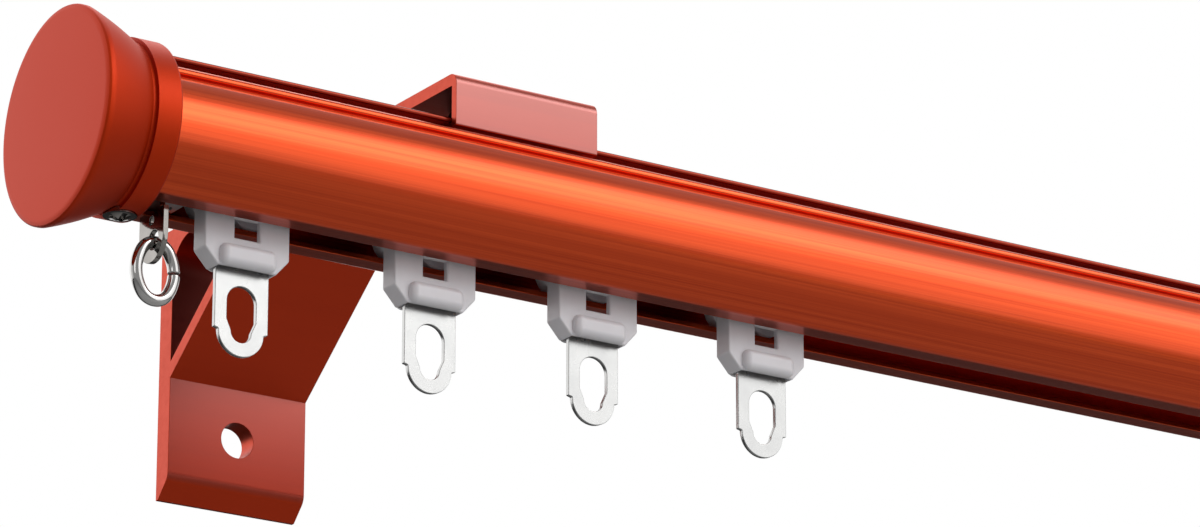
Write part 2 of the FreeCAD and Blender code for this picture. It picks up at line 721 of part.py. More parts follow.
def make_wheels(label, at, end_label, sign):
    """One axle with a riveted head at each end, and the pair of nylon wheels that turn on it."""
    where = dict(x=f"{at} {sign} axle_spacing / 2", y="-rail_standoff", z=f"rail_rise + {AXLE_LEVEL}")
    head_at = "wheel_outer + hub_gap"
    axle = new_body(f"{label}_{end_label}_axle", **where)
    section = new_sketch(axle, f"{label}_{end_label}_axle_section", "XY_Plane")
    outline(section, [
        ("0", f"-({head_at} + axle_head)"),
        ("axle_head_radius", f"-({head_at} + axle_head)"),
        ("axle_head_radius", f"-({head_at})"),
        ("axle_radius", f"-({head_at})"),
        ("axle_radius", head_at),
        ("axle_head_radius", head_at),
        ("axle_head_radius", f"{head_at} + axle_head"),
        ("0", f"{head_at} + axle_head"),
    ])
    turned(axle, section, "Y_Axis")
    wheel = doc.addObject("PartDesign::Body", f"{label}_{end_label}_wheel")
    rim = new_sketch(wheel, f"{label}_{end_label}_wheel_section", "XY_Plane")
    outline(rim, [
        ("axle_radius + axle_fit", "spine_half + hub_gap"),
        ("hub_radius", "spine_half + hub_gap"),
        ("hub_radius", "wheel_inner"),
        ("wheel_radius - wheel_edge", "wheel_inner"),
        ("wheel_radius", "wheel_inner + wheel_edge"),
        ("wheel_radius", "wheel_outer - wheel_edge"),
        ("wheel_radius - wheel_edge", "wheel_outer"),
        ("wheel_radius - wheel_edge * 4", "wheel_outer"),
        ("wheel_radius - wheel_edge * 5", "wheel_outer - wheel_dish"),
        ("hub_radius", "wheel_outer - wheel_dish"),
        ("hub_radius", "wheel_outer"),
        ("axle_radius + axle_fit", "wheel_outer"),
    ])
    turned(wheel, rim, "Y_Axis")
    twin = doc.addObject("Part::Mirroring", f"{label}_{end_label}_wheel_twin")
    twin.Source = wheel
    twin.Normal = FreeCAD.Vector(0, 1, 0)
    pair = doc.addObject("Part::Compound", f"{label}_{end_label}_wheels")
    pair.Links = [wheel, twin]
    place(pair, **where)
    pieces.append(pair)


def make_eye_tab(label, at):
    """The stamped steel eye tab, with its top rolled round the hinge pin, and the pin itself."""
    where = dict(x=at, y="-rail_standoff", z=f"rail_rise + {HINGE_LEVEL}")
    tab = new_body(f"{label}_eye_tab", **where)
    sketch = new_sketch(tab, f"{label}_tab_face", "XZ_Plane")
    arch_foot = "-tab_eye_top - tab_eye_half"
    tip_start = "tab_eye_tip - tab_eye_bottom"
    foot = "tab_half - tab_step - tab_length"
    outline(sketch, [
        ("-tab_half", "-hinge_radius - axle_fit"),
        ("-tab_half", "-tab_shoulder"),
        ("tab_step - tab_half", foot, "half"),
        ("tab_half - tab_step", foot),
        ("tab_half", "-tab_shoulder"),
        ("tab_half", "-hinge_radius - axle_fit"),
    ])
    outline(sketch, [
        ("tab_eye_half", arch_foot, "half"),
        ("-tab_eye_half", arch_foot),
        ("-tab_eye_half", "-tab_eye_straight"),
        ("-tab_eye_tip", tip_start, "half"),
        ("tab_eye_tip", tip_start),
        ("tab_eye_half", "-tab_eye_straight"),
    ])
    pad(tab, sketch, "tab_thick")
    knuckle = new_sketch(tab, f"{label}_knuckle", "YZ_Plane")
    circle(knuckle, "0", "0", "knuckle_radius")
    pad(tab, knuckle, "tab_half * 2")
    bore = new_sketch(tab, f"{label}_knuckle_bore", "YZ_Plane")
    circle(bore, "0", "0", "hinge_radius + axle_fit")
    cut(tab, bore, "tab_half * 3", middle=True)
    pin = new_body(f"{label}_hinge_pin", **where)
    pin_section = new_sketch(pin, f"{label}_hinge_pin_section", "YZ_Plane")
    circle(pin_section, "0", "0", "hinge_radius")
    pad(pin, pin_section, "(bar_half + pin_overlap) * 2")


make_rail()
for side_label, side in (("left", -1), ("right", 1)):
    make_bracket(f"{side_label}_bracket", side)
    make_clamp(side_label, side)
    make_finial(side_label, side)
    make_end_stop(side_label, side)
for number in range(1, len(RUNNER_PLACES) + 1):
    runner = f"runner_{number}"
    runner_x = f"{runner}_place - rail_length / 2"
    make_carriage(runner, runner_x)
    make_wheels(runner, runner_x, "left", "-")
    make_wheels(runner, runner_x, "right", "+")
    make_eye_tab(runner, runner_x)

doc.recompute()
for thing in doc.Objects:
    if "Invalid" in thing.State or "Error" in thing.State:
        raise RuntimeError(f"{thing.Label} could not be built: {thing.State}")
for piece in pieces:
    if piece.Shape.isNull() or not piece.Shape.isValid():
        raise RuntimeError(f"{piece.Label} has no valid solid")

os.makedirs("parts", exist_ok=True)
for piece in pieces:
    piece.Shape.exportStep(f"parts/{piece.Label}.step")
    solids = piece.Shape.Solids
    print(piece.Label, len(solids), round(sum(solid.Volume for solid in solids), 1))
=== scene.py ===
import math

import bmesh
import bpy
from mathutils import Euler, Matrix, Quaternion, Vector


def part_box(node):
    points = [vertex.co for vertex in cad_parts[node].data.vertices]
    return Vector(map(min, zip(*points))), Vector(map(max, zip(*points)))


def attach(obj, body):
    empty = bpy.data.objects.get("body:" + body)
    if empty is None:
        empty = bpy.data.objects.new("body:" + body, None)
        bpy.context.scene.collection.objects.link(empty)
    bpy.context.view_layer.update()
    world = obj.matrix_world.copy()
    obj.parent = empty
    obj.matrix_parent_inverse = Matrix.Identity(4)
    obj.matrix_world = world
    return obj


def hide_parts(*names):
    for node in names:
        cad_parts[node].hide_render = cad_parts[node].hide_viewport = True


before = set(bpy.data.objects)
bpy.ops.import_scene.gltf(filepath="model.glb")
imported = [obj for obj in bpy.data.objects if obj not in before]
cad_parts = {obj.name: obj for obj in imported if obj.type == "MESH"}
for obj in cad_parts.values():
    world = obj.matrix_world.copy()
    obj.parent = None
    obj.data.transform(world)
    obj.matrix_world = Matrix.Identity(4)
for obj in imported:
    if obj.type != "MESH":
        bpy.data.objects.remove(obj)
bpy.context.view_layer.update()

# The rail: one aluminium extrusion with a round belly, a slot below for the runners, a rolled bead
# on each side and a flat flange on top. It is brushed along its length and anodised a rust red, so
# long fine lines lie under a clear oxide layer.
MM = 0.001
rail_low, rail_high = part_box("rail")
RAIL_LENGTH = rail_high.x - rail_low.x
BELLY_RADIUS = 14.0 * MM
BELLY_DROP = 2.0 * MM
SKIN = 1.2 * MM
FLANGE_HALF, FLANGE_LEVEL, FLANGE_THICK = 5.5 * MM, 12.9 * MM, 0.95 * MM
NECK_HALF, SHOULDER = 3.4 * MM, 9.8 * MM
BEAD_REACH, BEAD_RADIUS, BEAD_UNDER = 9.0 * MM, 1.1 * MM, 0.5 * MM
GROOVE_HALF, GROOVE_LEVEL = 7.9 * MM, 7.0 * MM
BELLY_TOP = 6.2 * MM
BASE_DROP, BASE_HALF, CORNER_RISE, CORNER_RADIUS = 13.6 * MM, 7.2 * MM, 0.55 * MM, 1.6 * MM
SLOT_HALF, LIP_THICK, WEB_LEVEL = 3.75 * MM, 1.05 * MM, 1.5 * MM
FLANGE_ROUND, EDGE_BREAK = 0.42 * MM, 0.16 * MM
AXIS_Y = (rail_low.y + rail_high.y) / 2
AXIS_Z = rail_high.z - FLANGE_LEVEL
BELLY_STEPS, CHANNEL_STEPS = 72, 24
SMOOTH_ANGLE, FINE_ANGLE = 30.0, 24.0
WELD, RELIEF_DEPTH = 0.001 * MM, 0.04 * MM
LINE_LAYERS = (((5.0, 900.0, 900.0), 2.0), ((14.0, 3600.0, 3600.0), 1.0))
LINE_ROUGHNESS, FINE_SHARE, LINES_LOW, LINES_HIGH, RAIL_LINES = 0.6, 0.4, 0.34, 0.66, 0.35
RAIL_TONES = (0.49, 0.042, 0.005), (0.66, 0.072, 0.012)
# Painted shade: much darker tones for the neck and flange over the beads.
NECK_SHADE_TONES = (0.16, 0.013, 0.003), (0.25, 0.024, 0.006)
RAIL_ROUGHNESS = 0.26, 0.34
PATCH_DETAIL, GRAIN_DETAIL = 3.0, 2.0


def arc(across, up, radius, start, end, steps):
    """Points along an arc about a centre, from one angle to another in degrees."""
    turns = [math.radians(start + (end - start) * i / steps) for i in range(steps + 1)]
    return [(across + radius * math.cos(a), up + radius * math.sin(a)) for a in turns]


def arc_through(start, end, radius, steps):
    """Points of the shorter clockwise arc of this radius from one point to another."""
    a, b = Vector(start), Vector(end)
    chord = b - a
    side = Vector((chord.y, -chord.x)).normalized()
    centre = (a + b) / 2 + side * math.sqrt(max(radius**2 - chord.length_squared / 4, 0.0))
    first = math.degrees(math.atan2(a.y - centre.y, a.x - centre.x))
    last = math.degrees(math.atan2(b.y - centre.y, b.x - centre.x))
    if last > first:
        last -= 360
    return arc(centre.x, centre.y, radius, first, last, steps)


def softened(points, radius, least=25.0, share=0.45, steps=3):
    """A closed outline with each corner sharper than `least` degrees broken by a small arc, which
    takes at most this share of each side."""
    done = []
    for i, here in enumerate(points):
        before, after = Vector(points[i - 1]), Vector(points[(i + 1) % len(points)])
        here = Vector(here)
        inward, outward = here - before, after - here
        turn = math.degrees(inward.angle_signed(outward))
        if abs(turn) < least:
            done.append(tuple(here))
            continue
        half = math.radians(abs(turn)) / 2
        back = min(radius * math.tan(half), inward.length * share, outward.length * share)
        start, end = here - inward.normalized() * back, here + outward.normalized() * back
        for j in range(steps + 1):
            t = j / steps
            done.append(tuple(start * (1 - t) ** 2 + here * (2 * t * (1 - t)) + end * t**2))
    return done


def belly_width(radius, level):
    """Half the width of a circle on the belly's centre at a level over the rail's axis."""
    return math.sqrt(radius**2 - (level + BELLY_DROP) ** 2)


def belly_angle(radius, level):
    """The angle, in degrees, of that point of the circle, seen from the belly's centre."""
    return math.degrees(math.asin((level + BELLY_DROP) / radius))


def both_sides(right):
    """A whole outline from its right side, listed from the top down."""
    return right + [(-x, y) for x, y in reversed(right)]


inner = BELLY_RADIUS - SKIN
lip_top = LIP_THICK - BASE_DROP
corner_level = CORNER_RISE - BASE_DROP
bead_middle = SHOULDER - BEAD_RADIUS
round_middle = FLANGE_HALF - FLANGE_ROUND
rail_side = arc(round_middle, FLANGE_LEVEL - FLANGE_ROUND, FLANGE_ROUND, 90, 0, 6)
rail_side += arc(round_middle, FLANGE_LEVEL - FLANGE_THICK + FLANGE_ROUND, FLANGE_ROUND, 0, -90, 6)
rail_side += [(NECK_HALF, FLANGE_LEVEL - FLANGE_THICK), (NECK_HALF, SHOULDER)]
rail_side += arc(BEAD_REACH - BEAD_RADIUS, bead_middle, BEAD_RADIUS, 90, 0, 8)
rail_side += arc(BEAD_REACH - BEAD_UNDER, bead_middle, BEAD_UNDER, 0, -90, 5)[1:]
rail_side += [(GROOVE_HALF, bead_middle - BEAD_UNDER), (GROOVE_HALF, GROOVE_LEVEL)]
rail_side += arc(0, -BELLY_DROP, BELLY_RADIUS, belly_angle(BELLY_RADIUS, BELLY_TOP),
                 belly_angle(BELLY_RADIUS, corner_level), BELLY_STEPS)
rail_side += arc_through((belly_width(BELLY_RADIUS, corner_level), corner_level),
                         (BASE_HALF, -BASE_DROP), CORNER_RADIUS, 8)[1:]
rail_side += [(SLOT_HALF, -BASE_DROP), (SLOT_HALF, lip_top)]
rail_side += arc(0, -BELLY_DROP, inner, belly_angle(inner, lip_top), belly_angle(inner, WEB_LEVEL),
                 CHANNEL_STEPS)
chamber_floor, web_top = BELLY_TOP - SKIN, WEB_LEVEL + SKIN
chamber_side = [(NECK_HALF - SKIN, FLANGE_LEVEL - SKIN), (NECK_HALF - SKIN, SHOULDER - SKIN),
                (GROOVE_HALF - SKIN, SHOULDER - SKIN), (GROOVE_HALF - SKIN, chamber_floor)]
chamber_side += arc(0, -BELLY_DROP, inner, belly_angle(inner, chamber_floor),
                    belly_angle(inner, web_top), 4)


def add_socket(tree, name, kind, way="INPUT"):
    """A named socket on a node group."""
    tree.interface.new_socket(name, in_out=way, socket_type=f"NodeSocket{kind}")


def chain(tree, kind, operation=None, **sockets):
    """A node with its inputs set, each by its name, or by its number as _0: a socket is linked, and
    any other value is a default."""
    node = tree.nodes.new(kind)
    if operation:
        node.operation = operation
    for name, value in sockets.items():
        socket = node.inputs[int(name[1:]) if name[1:].isdigit() else name.replace("_", " ")]
        if isinstance(value, bpy.types.NodeSocket):
            tree.links.new(value, socket)
        else:
            socket.default_value = value
    return node


def extrusion_tree():
    """Nodes that fill a closed section, pull it to a length and lay it in its place."""
    tree = bpy.data.node_groups.new("pulled_section", "GeometryNodeTree")
    add_socket(tree, "Section", "Geometry")
    add_socket(tree, "Length", "Float")
    add_socket(tree, "Turn", "Vector")
    add_socket(tree, "Place", "Vector")
    add_socket(tree, "Finish", "Material")
    add_socket(tree, "Solid", "Geometry", "OUTPUT")
    given = tree.nodes.new("NodeGroupInput").outputs
    curve = chain(tree, "GeometryNodeMeshToCurve", Mesh=given["Section"])
    fill = chain(tree, "GeometryNodeFillCurve", Curve=curve.outputs[0])
    fill.mode = "NGONS"
    pull = chain(tree, "GeometryNodeExtrudeMesh", Mesh=fill.outputs[0], Individual=False,
                 Offset_Scale=given["Length"])
    back = chain(tree, "GeometryNodeFlipFaces", Mesh=fill.outputs[0])
    joined = tree.nodes.new("GeometryNodeJoinGeometry")
    tree.links.new(back.outputs[0], joined.inputs[0])
    tree.links.new(pull.outputs[0], joined.inputs[0])
    merged = chain(tree, "GeometryNodeMergeByDistance", Geometry=joined.outputs[0], Distance=WELD)
    turn = chain(tree, "FunctionNodeEulerToRotation", Euler=given["Turn"])
    moved = chain(tree, "GeometryNodeTransform", Geometry=merged.outputs[0],
                  Rotation=turn.outputs[0], Translation=given["Place"])
    real = chain(tree, "GeometryNodeRealizeInstances", Geometry=moved.outputs[0])
    painted = chain(tree, "GeometryNodeSetMaterial", Geometry=real.outputs[0],
                    Material=given["Finish"])
    tree.links.new(painted.outputs[0], tree.nodes.new("NodeGroupOutput").inputs[0])
    return tree


def use_tree(obj, tree, **values):
    """Put a node tree on an object and set its named inputs by their identifiers."""
    modifier = obj.modifiers.new(tree.name, "NODES")
    modifier.node_group = tree
    for item in tree.interface.items_tree:
        if item.item_type == "SOCKET" and item.in_out == "INPUT" and item.name in values:
            modifier[item.identifier] = values[item.name]
    return obj


def new_object(name, vertices, edges=(), faces=()):
    """A mesh object in the scene."""
    mesh = bpy.data.meshes.new(name)
    mesh.from_pydata([tuple(v) for v in vertices], list(edges), list(faces))
    obj = bpy.data.objects.new(name, mesh)
    bpy.context.scene.collection.objects.link(obj)
    return obj


def closed_loops(name, loops):
    """An object of closed outlines in the XY plane, as bare edges."""
    vertices, edges = [], []
    for loop in loops:
        first = len(vertices)
        vertices += [(x, y, 0.0) for x, y in loop]
        edges += [(first + i, first + (i + 1) % len(loop)) for i in range(len(loop))]
    return new_object(name, vertices, edges)


ALONG_X = Euler((math.radians(90), 0, math.radians(90)))
ALONG_Y = Euler((math.radians(90), 0, 0))
pulled_section = extrusion_tree()


def evaluated(obj):
    """Turn the modifiers' result into the object's own plain mesh."""
    bpy.context.view_layer.update()
    graph = bpy.context.evaluated_depsgraph_get()
    mesh = bpy.data.meshes.new_from_object(obj.evaluated_get(graph), depsgraph=graph)
    obj.modifiers.clear()
    obj.data = mesh
    return mesh


def settled(obj, bevel=0.0, steps=3, angle=SMOOTH_ANGLE):
    """Break the sharp edges, and shade curves smooth and flats flat."""
    if bevel:
        soft = obj.modifiers.new("broken_edges", "BEVEL")
        soft.width, soft.segments = bevel, steps
        soft.limit_method, soft.angle_limit = "ANGLE", math.radians(angle)
        soft.miter_outer, soft.loop_slide = "MITER_ARC", False
    mesh = evaluated(obj)
    mesh.shade_smooth()
    mesh.set_sharp_from_angle(angle=math.radians(angle))
    flats = obj.modifiers.new("flat_faces", "WEIGHTED_NORMAL")
    flats.keep_sharp = True
    evaluated(obj)
    return obj


def coated(obj, finish):
    """Give an object this finish and no other."""
    obj.data.materials.clear()
    obj.data.materials.append(finish)


def fitted(obj, body, slot, finish, *nodes):
    """Give a piece its finish and body, and let it stand for its nodes. The slot is not used."""
    coated(obj, finish)
    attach(obj, body)
    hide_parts(*nodes)


def between(tree, value, start, end, least=0.0, easing="LINEAR"):
    """How far a value has come from start to end, from 0, or from `least`, to 1."""
    node = chain(tree, "ShaderNodeMapRange", Value=value, From_Min=start, From_Max=end,
                 To_Min=least)
    node.interpolation_type = easing
    return node.outputs[0]


def drawn_lines_group():
    """Long fine lines along X, as drawing and brushing leave: a tone and a relief."""
    tree = bpy.data.node_groups.new("drawn_lines", "ShaderNodeTree")
    add_socket(tree, "Fineness", "Float")
    add_socket(tree, "Tone", "Float", "OUTPUT")
    add_socket(tree, "Relief", "Float", "OUTPUT")
    given = tree.nodes.new("NodeGroupInput").outputs
    place = tree.nodes.new("ShaderNodeTexCoord").outputs["Object"]
    tones = []
    for stretch, detail in LINE_LAYERS:
        scaled = chain(tree, "ShaderNodeVectorMath", "MULTIPLY", _0=place, _1=stretch)
        finer = chain(tree, "ShaderNodeVectorMath", "SCALE", _0=scaled.outputs[0],
                      Scale=given["Fineness"])
        noise = chain(tree, "ShaderNodeTexNoise", Vector=finer.outputs[0], Scale=1.0, Detail=detail,
                      Roughness=LINE_ROUGHNESS)
        tones.append(noise.outputs[0])
    mixed = chain(tree, "ShaderNodeMix", Factor=FINE_SHARE, _2=tones[0], _3=tones[1]).outputs[0]
    chain(tree, "NodeGroupOutput", Tone=between(tree, mixed, LINES_LOW, LINES_HIGH), Relief=mixed)
    return tree


def handling_group():
    """Soft uneven patches, as handling and anodising leave, and a fine grain."""
    tree = bpy.data.node_groups.new("uneven_surface", "ShaderNodeTree")
    add_socket(tree, "Patch Size", "Float")
    add_socket(tree, "Grain Size", "Float")
    add_socket(tree, "Patches", "Float", "OUTPUT")
    add_socket(tree, "Grain", "Float", "OUTPUT")
    given = tree.nodes.new("NodeGroupInput").outputs
    place = tree.nodes.new("ShaderNodeTexCoord").outputs["Object"]
    patches = chain(tree, "ShaderNodeTexNoise", Vector=place, Scale=given["Patch Size"],
                    Detail=PATCH_DETAIL)
    grain = chain(tree, "ShaderNodeTexNoise", Vector=place, Scale=given["Grain Size"],
                  Detail=GRAIN_DETAIL)
    chain(tree, "NodeGroupOutput", Patches=patches.outputs[0], Grain=grain.outputs[0])
    return tree


drawn_lines = drawn_lines_group()
uneven_surface = handling_group()


def new_material(name, **values):
    """A material with its Principled shader's own sockets set, and its node tree."""
    material = bpy.data.materials.new(name)
    material.use_nodes = True
    shader = material.node_tree.nodes["Principled BSDF"]
    for socket, value in values.items():
        shader.inputs[socket.replace("_", " ")].default_value = value
    return material, material.node_tree, shader


def placed_group(tree, group, **values):
    """An effect's node group placed in a material, with its values."""
    node = tree.nodes.new("ShaderNodeGroup")
    node.node_tree = group
    for socket, value in values.items():
        node.inputs[socket.replace("_", " ")].default_value = value
    return node.outputs


def ranged(tree, value, low, high):
    """A 0 to 1 value spread from low to high."""
    return chain(tree, "ShaderNodeMapRange", Value=value, To_Min=low, To_Max=high).outputs[0]


def blended(tree, value, low, high):
    """Two colours, each fixed or a socket, mixed by a value."""
    node = tree.nodes.new("ShaderNodeMix")
    node.data_type = "RGBA"
    tree.links.new(value, node.inputs[0])
    for socket, colour in ((node.inputs[6], low), (node.inputs[7], high)):
        if isinstance(colour, bpy.types.NodeSocket):
            tree.links.new(colour, socket)
        else:
            socket.default_value = (*colour, 1.0)
    return node.outputs[2]


def bumped(tree, shader, height, strength, distance):
    """A height as fine relief on a shader's normal."""
    node = chain(tree, "ShaderNodeBump", Height=height, Strength=strength, Distance=distance)
    tree.links.new(node.outputs[0], shader.inputs["Normal"])


def brushed_anodised():
    """Rust-red anodised aluminium, brushed along its length under a thin clear oxide layer. Over
    the beads, on the neck and flange, the tone is painted much darker as shade in the groove and on
    the flange."""
    material, tree, shader = new_material(
        "brushed_anodised", Metallic=1.0, Coat_Weight=0.3, Coat_Roughness=0.2)
    lines = placed_group(tree, drawn_lines, Fineness=1.0)
    surface = placed_group(tree, uneven_surface, Patch_Size=9.0)
    place = tree.nodes.new("ShaderNodeTexCoord").outputs["Object"]
    level = chain(tree, "ShaderNodeSeparateXYZ", Vector=place).outputs["Z"]
    # Painted shade: the neck and flange over the shoulder are coloured much darker, for the shade
    # in the groove under the flange and on the flange's edge.
    neck_shade = between(tree, level, AXIS_Z + SHOULDER, AXIS_Z + SHOULDER + MM)
    tone = blended(tree, neck_shade, blended(tree, lines["Tone"], *RAIL_TONES),
                   blended(tree, lines["Tone"], *NECK_SHADE_TONES))
    tree.links.new(tone, shader.inputs["Base Color"])
    tree.links.new(ranged(tree, surface["Patches"], *RAIL_ROUGHNESS), shader.inputs["Roughness"])
    bumped(tree, shader, lines["Relief"], RAIL_LINES, RELIEF_DEPTH)
    return material


rail_finish = brushed_anodised()
rail_loops = [softened(both_sides(rail_side), EDGE_BREAK), both_sides(chamber_side)]
rail = use_tree(closed_loops("rail_skin", rail_loops), pulled_section, Length=RAIL_LENGTH,
                Turn=ALONG_X, Place=(rail_low.x, AXIS_Y, AXIS_Z), Finish=rail_finish)
fitted(settled(rail, angle=FINE_ANGLE), "track", "brushed_anodised", rail_finish, "rail")

# The wall brackets: slices of one extrusion, with a plate on the wall, an arm over the rail, a
# diagonal brace and a hood that hooks the rail's flange from the front. They are cut to width,
# drilled, tumbled and anodised to a satin rust red.
BRACKET_NODES = ("left_bracket", "right_bracket")
PLATE_THICK, PLATE_CHAMFER, TOE_TUCK = 4.5 * MM, 3.7 * MM, 1.2 * MM
ARM_THICK = 2.4 * MM
BRACE_FOOT, BRACE_REACH, BRACE_THICK = 10.1 * MM, 40.2 * MM, 2.6 * MM
HOLLOW_RADIUS = 7.0 * MM
HOOD_THICK, HOOD_FOLD, HOOD_TOE = 1.55 * MM, 2.2 * MM, 0.4 * MM
HOOK_THICK, HOOK_REACH = 0.95 * MM, 2.65 * MM
WALL_HOLE_RADIUS, CLAMP_HOLE_RADIUS, CLAMP_HOLE_Y = 3.5 * MM, 2.2 * MM, -98.8 * MM
BRACKET_EDGE = 0.44 * MM
HOOK_CLEARANCE = 0.1 * MM
HAZE_LOW, HAZE_HIGH, LEAST_HAZE, HAZE_COAT = -12.0 * MM, 38.0 * MM, 0.12, (0.04, 0.75)
ASLANT, TO_THE_FRONT = -0.80, -0.97
BRACKET_TONES = (0.41, 0.029, 0.004), (0.49, 0.037, 0.007)
LINISHED_TONES = (0.25, 0.020, 0.005), (0.31, 0.026, 0.008)
BRACKET_ROUGHNESS, BRACKET_GRAIN = (0.34, 0.44), 0.12


def bracket_loops(low, high):
    """The bracket's outline and its three-cornered hollow, from its box."""
    front, top, foot = low.y, high.z, low.z
    under = top - ARM_THICK
    rise, run = under - BRACE_FOOT, BRACE_REACH - PLATE_THICK
    inner_foot = BRACE_FOOT + BRACE_THICK * math.hypot(1, rise / run)
    inner_reach = PLATE_THICK + (under - inner_foot) * run / rise
    hook_low = rail_high.z - FLANGE_THICK - HOOK_CLEARANCE - HOOK_THICK
    outer = [(0.0, foot), (0.0, top)]
    outer += arc(front + HOOD_FOLD, top - HOOD_FOLD, HOOD_FOLD, 90, 180, 10)
    outer += arc(front + HOOD_TOE, hook_low + HOOD_TOE, HOOD_TOE, 180, 270, 4)
    outer += [(front + HOOK_REACH, hook_low), (front + HOOK_REACH, hook_low + HOOK_THICK),
              (front + HOOD_THICK, hook_low + HOOK_THICK), (front + HOOD_THICK, under),
              (-BRACE_REACH, under), (-PLATE_THICK, BRACE_FOOT)]
    toe_radius = TOE_TUCK * (1 + math.sqrt(2))
    outer += arc(toe_radius - PLATE_THICK, foot + PLATE_CHAMFER + TOE_TUCK, toe_radius, 180, 225, 8)
    outer += [(PLATE_CHAMFER - PLATE_THICK, foot)]
    hollow = [(-PLATE_THICK, inner_foot)]
    hollow += arc(-PLATE_THICK - HOLLOW_RADIUS, under - HOLLOW_RADIUS, HOLLOW_RADIUS, 0, 90, 12)
    hollow += [(-inner_reach, under)]
    return [outer, hollow]


def built(name, made):
    """An object from a bmesh, which is freed."""
    obj = new_object(name, [])
    made.to_mesh(obj.data)
    made.free()
    return obj


def rod(name, radius, start, end, sides=64):
    """A closed rod between two points, to drill with or to stand for a pin."""
    made = bmesh.new()
    length = (end - start).length
    bmesh.ops.create_cone(made, cap_ends=True, segments=sides, radius1=radius, radius2=radius,
                          depth=length)
    turn = (end - start).to_track_quat("Z", "Y").to_matrix().to_4x4()
    bmesh.ops.transform(made, matrix=Matrix.Translation((start + end) / 2) @ turn, verts=made.verts)
    return built(name, made)


def combined(obj, other, operation):
    """Cut another object out of one, or add it, and take the other away."""
    change = obj.modifiers.new("change", "BOOLEAN")
    change.operation, change.solver, change.object = operation, "MANIFOLD", other
    evaluated(obj)
    bpy.data.objects.remove(other)
    return obj


def drilled(obj, radius, start, end):
    """Drill a hole through an object, and take the drill away."""
    return combined(obj, rod("drill", radius, Vector(start), Vector(end)), "DIFFERENCE")


def satin_anodised():
    """Rust-red anodised aluminium with a satin surface and faint lines along the extrusion. The
    faces to the front, which are linished, are duller under a hazy oxide, more so towards the
    hood."""
    material, tree, shader = new_material(
        "satin_anodised", Metallic=1.0, Coat_IOR=2.1, Coat_Roughness=0.32)
    lines = placed_group(tree, drawn_lines, Fineness=0.8)
    surface = placed_group(tree, uneven_surface, Patch_Size=40.0, Grain_Size=2600.0)
    coords = tree.nodes.new("ShaderNodeTexCoord").outputs
    facing = chain(tree, "ShaderNodeSeparateXYZ", Vector=coords["Normal"]).outputs["Y"]
    level = chain(tree, "ShaderNodeSeparateXYZ", Vector=coords["Object"]).outputs["Z"]
    linished = between(tree, facing, ASLANT, TO_THE_FRONT)
    haze = chain(tree, "ShaderNodeMath", "MULTIPLY", _0=linished,
                 _1=between(tree, level, HAZE_LOW, HAZE_HIGH, LEAST_HAZE)).outputs[0]
    tone = blended(tree, linished, blended(tree, surface["Patches"], *BRACKET_TONES),
                   blended(tree, surface["Patches"], *LINISHED_TONES))
    tree.links.new(tone, shader.inputs["Base Color"])
    tree.links.new(ranged(tree, lines["Tone"], *BRACKET_ROUGHNESS), shader.inputs["Roughness"])
    tree.links.new(ranged(tree, haze, *HAZE_COAT), shader.inputs["Coat Weight"])
    bumped(tree, shader, surface["Grain"], BRACKET_GRAIN, RELIEF_DEPTH)
    return material


bracket_finish = satin_anodised()
for node in BRACKET_NODES:
    low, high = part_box(node)
    middle = (low.x + high.x) / 2
    bracket = use_tree(closed_loops(f"{node}_body", bracket_loops(low, high)), pulled_section,
                       Length=high.x - low.x, Turn=ALONG_X, Place=(low.x, 0.0, 0.0),
                       Finish=bracket_finish)
    settled(bracket)
    drilled(bracket, WALL_HOLE_RADIUS, (middle, -2 * PLATE_THICK, 0), (middle, PLATE_THICK, 0))
    drilled(bracket, CLAMP_HOLE_RADIUS, (middle, CLAMP_HOLE_Y, high.z - 2 * ARM_THICK),
            (middle, CLAMP_HOLE_Y, high.z + ARM_THICK))
    fitted(settled(bracket, BRACKET_EDGE), "track", "satin_anodised", bracket_finish, node)

# The end caps: turned from aluminium bar, with a collar against the rail, a fine neck groove, a
# flared cone and a nearly flat face with a rounded rim, then blasted and anodised a rust red. A
# screw seat is milled under the collar.
FACE_RADIUS, RIM_WIDTH, RIM_ROUND = 19.5 * MM, 1.0 * MM, 0.45 * MM
FACE_BEVEL, FACE_BEVEL_DROP = 0.7 * MM, 0.25 * MM
NECK_RADIUS, NECK_WIDTH, FLARE_RADIUS = 15.2 * MM, 0.7 * MM, 60.0 * MM
COLLAR_RADIUS, COLLAR_LENGTH, COLLAR_ROUND = 15.9 * MM, 4.8 * MM, 0.6 * MM
CAP_LENGTH = 16.25 * MM
SEAT_LEVEL, SEAT_RADIUS, SEAT_X = 14.9 * MM, 3.1 * MM, 3.3 * MM
SOCKET_HALF, SOCKET_DEPTH = 5.6 * MM, 7.3 * MM
CAP_SIDES, AXIS_LIMIT = 160, 1e-9
CAP_TONES = (0.44, 0.027, 0.002), (0.52, 0.034, 0.004)
CAP_LOOK = (0.50, 0.58), (30.0, 3000.0), (0.10, RELIEF_DEPTH)


def lathe(name, profile, sides, turn):
    """A closed solid turned round the X axis from (along, radius) points, each end on the axis."""
    made = bmesh.new()
    rings = []
    for along, radius in profile:
        if radius < AXIS_LIMIT:
            rings.append([made.verts.new((along, 0, 0))])
            continue
        spins = [2 * math.pi * i / sides for i in range(sides)]
        rings.append([made.verts.new((along, radius * math.cos(a), radius * math.sin(a)))
                      for a in spins])
    for a, b in zip(rings, rings[1:]):
        for i in range(sides):
            j = (i + 1) % sides
            corners = [a[i % len(a)], a[j % len(a)], b[j % len(b)], b[i % len(b)]]
            made.faces.new(list(dict.fromkeys(corners)))
    bmesh.ops.recalc_face_normals(made, faces=made.faces)
    bmesh.ops.transform(made, matrix=turn, verts=made.verts)
    return built(name, made)


